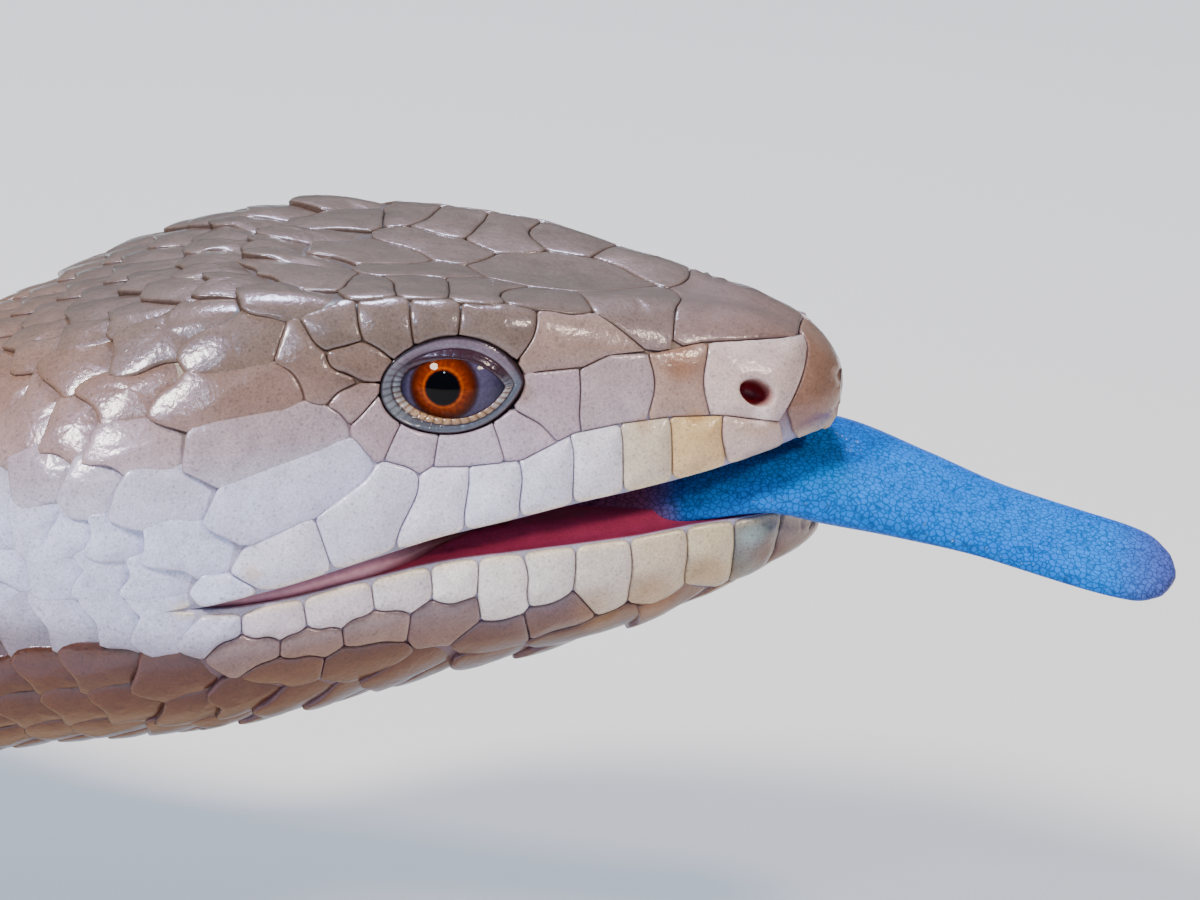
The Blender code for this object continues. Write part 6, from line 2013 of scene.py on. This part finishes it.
def scatter_tree() -> bpy.types.NodeTree:
    """The tree that sets one scale on each point, by the point's own directions and sizes."""
    tree = bpy.data.node_groups.new("overlapping_scales", "GeometryNodeTree")
    face = tree.interface
    face.new_socket(name="Geometry", in_out="INPUT", socket_type="NodeSocketGeometry")
    face.new_socket(name="Scale shape", in_out="INPUT", socket_type="NodeSocketObject")
    face.new_socket(name="Finish", in_out="INPUT", socket_type="NodeSocketMaterial")
    for name, value in (("Length factor", 1.0), ("Width factor", 1.0), ("Thickness", 0.0004), ("Unevenness", 0.05)):
        face.new_socket(name=name, in_out="INPUT", socket_type="NodeSocketFloat").default_value = value
    face.new_socket(name="Seed", in_out="INPUT", socket_type="NodeSocketInt").default_value = 7
    face.new_socket(name="Geometry", in_out="OUTPUT", socket_type="NodeSocketGeometry")
    given = node(tree, "NodeGroupInput").outputs
    along, outward, size = (
        first_on(node(tree, "GeometryNodeInputNamedAttribute", {"Name": name}, data_type="FLOAT_VECTOR"))
        for name in ("along", "outward", "size"))
    turn = node(tree, "FunctionNodeAxesToRotation", {"Primary Axis": along, "Secondary Axis": outward},
                primary_axis="X", secondary_axis="Z")
    chance = node(tree, "FunctionNodeRandomValue", {"Seed": given["Seed"]}, data_type="FLOAT")
    spread = node(tree, "ShaderNodeMath", {0: first_on(chance), 1: 0.5}, operation="SUBTRACT")
    spread = node(tree, "ShaderNodeMath", {0: spread.outputs[0], 1: given["Unevenness"], 2: 1.0},
                  operation="MULTIPLY_ADD")
    factors = node(tree, "ShaderNodeCombineXYZ", {"X": given["Length factor"], "Y": given["Width factor"],
                                                  "Z": given["Thickness"]})
    scaled = node(tree, "ShaderNodeVectorMath", {0: size, 1: factors.outputs[0]}, operation="MULTIPLY")
    uneven = node(tree, "ShaderNodeVectorMath", {0: scaled.outputs[0], "Scale": spread.outputs[0]}, operation="SCALE")
    shape = node(tree, "GeometryNodeObjectInfo", {"Object": given["Scale shape"]})
    placed_scales = node(tree, "GeometryNodeInstanceOnPoints", {
        "Points": given["Geometry"], "Instance": shape.outputs["Geometry"], "Rotation": turn.outputs[0],
        "Scale": uneven.outputs[0]})
    real = node(tree, "GeometryNodeRealizeInstances", {"Geometry": placed_scales.outputs[0]})
    done = node(tree, "GeometryNodeSetMaterial", {"Geometry": real.outputs[0], "Material": given["Finish"]})
    node(tree, "NodeGroupOutput", {"Geometry": done.outputs[0]})
    return tree


def first_on(source: bpy.types.Node) -> bpy.types.NodeSocket:
    """The first output that is in use on a node whose outputs depend on its data type."""
    return next(socket for socket in source.outputs if socket.enabled)


@dataclass
class ScaleRows:
    """Places, directions, sizes and colours of many small scales, gathered row by row."""

    kept: dict[str, list[np.ndarray]] = field(default_factory=dict)

    def add(self, free: np.ndarray, **rows: np.ndarray) -> None:
        """Adds the scales of a row that are free, by their points, along, outward, size, hue and root."""
        for key, values in rows.items():
            self.kept.setdefault(key, []).append(values[free])

    def build(self, name: str, tree: bpy.types.NodeTree, shape: bpy.types.Object, material: bpy.types.Material,
              thickness: float) -> bpy.types.Object:
        """Makes the scales as one plain mesh with hue and unwrap.

        Args:
            name: the piece's name.
            tree: the tree that sets the scales.
            shape: the scale to set.
            material: the finish.
            thickness: height of a scale in millimetres.

        Returns:
            The piece.
        """
        rows = {key: np.concatenate(parts) for key, parts in self.kept.items()}
        mesh = bpy.data.meshes.new(name + "_roots")
        mesh.from_pydata(placed(rows["points"]).tolist(), [], [])
        for key in ("along", "outward", "size", "root"):
            write_values(mesh, key, "FLOAT_VECTOR", rows[key])
        write_hue(mesh, rows["hue"])
        roots = linked(name + "_roots", mesh)
        modifier = roots.modifiers.new("scales", "NODES")
        modifier.node_group = tree
        sockets = {item.name: item.identifier for item in tree.interface.items_tree
                   if item.item_type == "SOCKET" and item.in_out == "INPUT"}
        for key, value in (("Scale shape", shape), ("Finish", material), ("Length factor", MM), ("Width factor", MM),
                           ("Thickness", thickness * MM)):
            modifier[sockets[key]] = value
        result = evaluated_mesh(roots)
        result.name = name
        made = linked(name, result)
        bpy.data.objects.remove(roots)
        self.finish(result)
        return made

    @staticmethod
    def finish(mesh: bpy.types.Mesh) -> None:
        """Gives the realised scales their unwrap, a patch for each at its root, and painted shade on their rims and on
        the front that lies under the scale ahead.
        """
        places = np.empty(len(mesh.vertices) * 3, np.float32)
        mesh.vertices.foreach_get("co", places)
        places[2::3] = np.maximum(places[2::3], FLOOR_CLEAR * MM)
        mesh.vertices.foreach_set("co", places)
        local, root, rim, colours = (read_values(mesh, key) for key in ("local", "root", RIM, HUE))
        # painted shade: darker at a scale's rim and at its front, which lies under the scale ahead
        colours[:, :3] *= 1 - 0.34 * (1 - rim) - 0.16 * np.clip(-local[:, :1], 0, 0.5) * 2
        mesh.attributes[HUE].data.foreach_set("color", colours.ravel())
        unwrap_by_points(mesh, root[:, :2] + local[:, :2] * UNWRAP_PATCH)
        for key in ("local", "root", RIM, "along", "outward", "size"):
            if key in mesh.attributes:
                mesh.attributes.remove(mesh.attributes[key])
        mesh.shade_smooth()


@dataclass
class BodyScales:
    """The smooth overlapping scales of the neck, body and tail, and of the legs and feet."""

    form: AnimalForm
    markings: Markings
    # From a station to a station, with the number of long rows round the body there.
    zones: tuple = (
        (39.0, 262.0, 34), (262.0, 308.0, 24), (308.0, 362.0, 18), (362.0, 410.0, 14), (410.0, 465.0, 8))
    tail_from: float = 262.0
    limb_columns: tuple[int, int, int] = (18, 16, 7)     # round the leg, the palm and a toe
    smooth: float = 0.026        # how far round the body a scale's facing is averaged, in turns
    exposed: float = 0.92        # length that shows, in widths
    overlap: float = 1.62        # whole length, in lengths that show

    @staticmethod
    def unevenness(spots: np.ndarray) -> np.ndarray:
        """How much lighter or darker than its place each scale is, from -1 to 1."""
        return cloud(spots, 0.9, 21.0)[:, None]

    def body_rows(self, limbs: list[Surface]) -> tuple[ScaleRows, ScaleRows]:
        """Scales along the trunk and along the tail, in staggered rows."""
        trunk, tail = ScaleRows(), ScaleRows()
        for start, end, columns in self.zones:
            behind, number = start, 0
            while behind < end:
                width = self.form.girth(behind) / columns
                turns = (np.arange(number % 2, columns, 2) + 0.5) / columns
                spots = self.form.around(behind, turns)
                along = units(spots - self.form.around(behind - 1.0, turns))
                round_way = (self.form.around(behind, turns + self.smooth)
                             - self.form.around(behind, turns - self.smooth))
                outward = units(np.cross(round_way, along))
                centre = self.form.around(behind, np.linspace(0, 1, 25)[:-1]).mean(axis=0)
                outward *= np.sign(((spots - centre) * outward).sum(axis=1, keepdims=True))
                depth = 1 - np.abs(1 - turns * 2)
                size = np.tile([width * self.exposed * self.overlap, width * 1.95, 1.0], (len(turns), 1))
                size[:, 2] = 0.55 + 0.45 * min(width / 4.0, 1.0)
                free = np.ones(len(turns), bool)
                for limb in limbs:
                    free &= ~inside_of(limb, spots + outward * 0.3)
                hue = self.markings.at(np.full(len(turns), behind), depth, spots)
                hue = hue * (1 + self.unevenness(spots) * 0.22)
                place = np.full(len(turns), (behind + SNOUT) / (TAIL_END + SNOUT))
                root = np.stack([place, turns, 0 * turns], axis=1)
                rows = trunk if behind < self.tail_from else tail
                rows.add(free, points=spots + outward * 0.05, along=along, outward=outward, size=size, hue=hue,
                         root=root)
                behind += width * self.exposed / 2
                number += 1
        return trunk, tail

    def limb_rows(self, limb: Limb, solids: list[Surface], body: Surface, legs: ScaleRows, feet: ScaleRows) -> None:
        """Scales of one leg, its foot and its toes, where they aren't buried in one another or in the body."""
        for number, tube in enumerate(limb.tubes):
            columns = self.limb_columns[min(number, 2)]
            length, done, row = tube.length(), 0.0, 0
            others = solids[:number] + solids[number + 1:] + [body] * (number == 0)
            while done < length + 0.5:
                share = min(done / length, 1.0)
                radius = float(np.interp(share * (len(tube.radii) - 1), np.arange(len(tube.radii)), tube.radii))
                width = math.tau * radius * (1 + tube.flat) / 2 / columns
                angles = math.tau * (np.arange(columns) + 0.5 * (row % 2)) / columns
                spots, along, outward = tube.spots(share, angles)
                free = spots[:, 2] > FLOOR + FLOOR_CLEAR
                for other in others:
                    free &= ~inside_of(other, spots)
                size = np.tile([width * self.exposed * self.overlap, width * 1.3, 0.75], (columns, 1))
                hue = self.markings.limb(spots) * (1 + self.unevenness(spots) * 0.25)
                root = np.stack([np.full(columns, 0.1 + 0.8 * share), 0.5 + 0.4 * np.cos(angles), 0 * angles],
                                axis=1)
                rows = legs if number == 0 else feet
                rows.add(free, points=spots, along=along, outward=outward, size=size, hue=hue, root=root)
                done += width * self.exposed * 0.98
                row += 1


def inside_of(surface: Surface, places: np.ndarray) -> np.ndarray:
    """Which places lie inside a closed surface, or within a hair of it."""
    spots, normals = surface.nearest(places)
    return ((places - spots) * normals).sum(axis=1) < 0.1


# Lamps: name, azimuth, elevation, distance, size, power, colour, and whether the animal mirrors it.
LAMPS = (
    ("key_softbox", -44.0, 50.0, 0.7, 0.16, 8.0, "#FFF3E4", True),
    ("sky_softbox", -168.0, 60.0, 0.75, 0.2, 8.0, "#C8DCFF", True),
    ("warm_lamp", 58.0, 40.0, 0.7, 0.10, 2.6, "#FFE2C0", True),
    ("front_softbox", 10.0, 10.0, 0.9, 0.6, 1.5, "#EDEEFF", False),
    ("eye_light", -12.0, 45.0, 0.5, 0.03, 0.25, "#DCE8FF", True),
)


@dataclass(frozen=True)
class Stage:
    """A plain pale floor, soft studio light and even surroundings."""

    floor_size: float = 6.0
    floor_colour: str = "#D9D6D0"
    world_colour: str = "#DDE1E6"
    world_strength: float = 0.24

    def build(self, view: Viewpoint) -> None:
        """Adds the floor, the lamps and the surroundings."""
        half = self.floor_size / 2
        mesh = bpy.data.meshes.new("studio_floor")
        mesh.from_pydata([(-half, -half, 0), (half, -half, 0), (half, half, 0), (-half, half, 0)], [], [(0, 1, 2, 3)])
        mesh.materials.append(Recipe("matt_floor_paint").done(
            Base_Color=(*linear(self.floor_colour), 1.0), Roughness=0.9, Specular_IOR_Level=0.15))
        linked("studio_floor", mesh)
        world = bpy.data.worlds.new("studio")
        bpy.context.scene.world = world
        world.use_nodes = True
        back = world.node_tree.nodes["Background"]
        back.inputs["Color"].default_value = (*linear(self.world_colour), 1.0)
        back.inputs["Strength"].default_value = self.world_strength
        spot = Vector(placed(view.spot(0.0, 0.0)))
        for name, azimuth, elevation, distance, size, power, colour, mirrored in LAMPS:
            light = bpy.data.lights.new(name, "AREA")
            light.shape, light.size, light.energy = "DISK", size, power
            light.color = linear(colour)
            lamp = linked(name, light)
            lamp.visible_glossy = mirrored
            away = Vector(seen_from(azimuth, elevation))
            lamp.location = spot + away * distance
            lamp.rotation_mode = "QUATERNION"
            lamp.rotation_quaternion = (-away).to_track_quat("-Z", "Y")


def union_of(base: bpy.types.Object, others: list[bpy.types.Object]) -> None:
    """Joins closed meshes into the base and removes them."""
    group = bpy.data.collections.new("to_join")
    bpy.context.scene.collection.children.link(group)
    for item in others:
        bpy.context.scene.collection.objects.unlink(item)
        group.objects.link(item)
    modifier = base.modifiers.new("join", "BOOLEAN")
    modifier.operation, modifier.solver, modifier.operand_type = "UNION", "EXACT", "COLLECTION"
    modifier.collection = group
    result = evaluated_mesh(base)
    base.modifiers.clear()
    old, base.data = base.data, result
    result.name = base.name
    bpy.data.meshes.remove(old)
    for item in others:
        bpy.data.objects.remove(item)
    bpy.data.collections.remove(group)


def limb_nodes(*parts: str) -> list[str]:
    """The model's nodes of some parts of the four limbs."""
    return [f"{kind}_{part}_{side}" for kind in KINDS for part in parts for side in ("left", "right")]


def top_up_surface(points: np.ndarray, faces: list) -> Surface:
    """A surface whose highest point faces up."""
    made = Surface(points, triangulated(faces))
    if made.normals[made.points[:, 2].argmax()][2] < 0:
        made = Surface(points, made.triangles[:, ::-1])
    return made


def dress_head(shields: HeadShields, surface: Surface, lips: list[np.ndarray], material: bpy.types.Material) -> None:
    """Grows the shields of the head and the jaw, and the small scales of the nape."""
    shields.lay_out(surface)
    LOG.info("shield lines: %d", len(shields.lines))
    for name, slot, replaced, chosen in (
            ("head_shields", "head_skin", "head", lambda line: not (line.name in SMALL_SCALES or is_jaw(line.name))),
            ("jaw_shields", "jaw_skin", "lower_jaw", lambda line: is_jaw(line.name)),
            ("nape_scales", "body_skin", "neck", lambda line: line.name in SMALL_SCALES)):
        ready(shields.grow(surface, lips, name, chosen, material), slot, replaced)


def dress_body(limbs: list[Limb], scales: BodyScales, whole: Surface, material: bpy.types.Material) -> None:
    """Lays the small scales of the body, legs and feet, and sets the claws."""
    tree, shape, horn = scatter_tree(), scale_template(), horn_material()
    legs, feet, buried = ScaleRows(), ScaleRows(), []
    for limb in limbs:
        solids = [outward_surface(*tube.solid()) for tube in limb.tubes]
        buried += solids[:2]
        scales.limb_rows(limb, solids, whole, legs, feet)
        ready(limb.add_claws(horn), "foot_skin", f"{limb.kind}_foot_{limb.side.word}")
    trunk, tail = scales.body_rows(buried)
    for name, rows, thickness, slot, replaced in (
            ("leg_scales", legs, 0.3, "body_skin", limb_nodes("leg")),
            ("foot_scales", feet, 0.28, "foot_skin", limb_nodes("foot")),
            ("trunk_scales", trunk, 0.62, "body_skin", ["torso"]),
            ("tail_scales", tail, 0.55, "body_skin", ["tail_base", "tail_tip"])):
        ready(rows.build(name, tree, shape, material, thickness), slot, *replaced)
    bpy.data.objects.remove(shape)


def main() -> None:
    """Builds the animal's pieces in order, then the stage and the camera."""
    logging.basicConfig(level=logging.INFO, format="%(name)s: %(message)s", stream=sys.stdout)
    form, view, openings, markings = AnimalForm(), Viewpoint(), Openings(), Markings()
    mouth = Mouth(form)
    skin = Skin(form, mouth, openings)
    head_finish, body_finish, hide_finish, lid_finish = map(scale_material, SCALE_FINISHES)
    wet_finish, tongue_finish = map(wet_material, WET_FINISHES)
    bare_points, bare_faces, bare_facts = skin.build_shell(lined=False)
    in_head = bare_facts["behind"] < 60.0
    surface = top_up_surface(bare_points, [f for f in bare_faces if all(in_head[c] for c in f)])
    dress_head(HeadShields(form, view, openings, markings), surface, [mouth.line(True), mouth.line(False)],
               head_finish)

    points, faces, facts = skin.build_shell()
    whole = top_up_surface(points, faces)
    nostril = surface.cast(*view.ray(*openings.nostril))
    pressed = skin.press_in(points, facts, [nostril, nostril * (1, -1, 1)], whole.normals)
    hide = add_object("skin", pressed, faces, hide_finish, skin_hues(pressed, facts, markings, openings))
    face_outwards(hide, drop_loose=True)
    limbs = [Limb(form, kind, side) for kind in KINDS for side in Side]
    bodies = []
    for limb in limbs:
        limb.lay_out()
        bodies += limb.add_bodies(markings, hide_finish)
    union_of(hide, bodies)
    face_outwards(hide)
    ready(hide, "body_skin", "head", "lower_jaw", "neck", "torso", "tail_base", "tail_tip", *limb_nodes("leg", "foot"))
    dress_body(limbs, BodyScales(form, markings), whole, body_finish)

    for side, fold in zip(Side, mouth.folds()):
        fold_points, fold_faces = fold.solid(20)
        # darker at the front end, where the fold tucks in between the lips: painted shade
        tone = painted(HIDE.fold, (HIDE.mouth_deep, ramp(fold_points[:, 0], -5.0, 0.5)))
        ready(add_object(f"mouth_fold_{side.word}", fold_points, fold_faces, wet_finish, tone, closed=True),
              "jaw_skin", "lower_jaw")
    for side in Side:
        eye = Eye(view, openings, side)
        ready(eye.build_ball(eye_material()), "eye", f"eye_{side.word}")
        ready(eye.build_lids(surface, lid_finish), "head_skin", "head")
    ready(Tongue().build(tongue_finish), "tongue", "tongue")
    Stage().build(view)
    view.make_camera()


def is_jaw(name: str) -> bool:
    """Whether a shield belongs to the lower jaw."""
    return name.startswith(("mental", "lower_lip", "chin"))


def skin_hues(points: np.ndarray, facts: dict[str, np.ndarray], markings: Markings,
              openings: Openings) -> np.ndarray:
    """The skin's colours: dark between scales, painted shade in the ear openings, pink and purple in the mouth with
    painted shade towards its back.
    """
    seam, light = markings.seams(points, 1 - ramp(facts["behind"], 24.0, 40.0))
    # painted shade in the ear opening
    ear = (1 - ramp(openings.ear_share(points), 0.7, 1.05)) * (np.abs(points[:, 1]) > BESIDE) * 0.9
    hue = mixed(markings.at(facts["behind"], facts["depth"], points), seam, 0.75 - 0.25 * light)
    hue = painted(hue, (HIDE.ear, ear))
    # painted shade: darker towards the back of the mouth
    deep = ramp(facts["behind"], -6.0, 8.0)
    for region, code, share in ((Region.PALATE, HIDE.palate, deep), (Region.MOUTH_FLOOR, HIDE.mouth_floor, deep * 0.8)):
        hue = np.where((facts["inside"] == region)[:, None], painted(code, (HIDE.mouth_deep, share)), hue)
    return hue


if __name__ == "__main__":
    main()
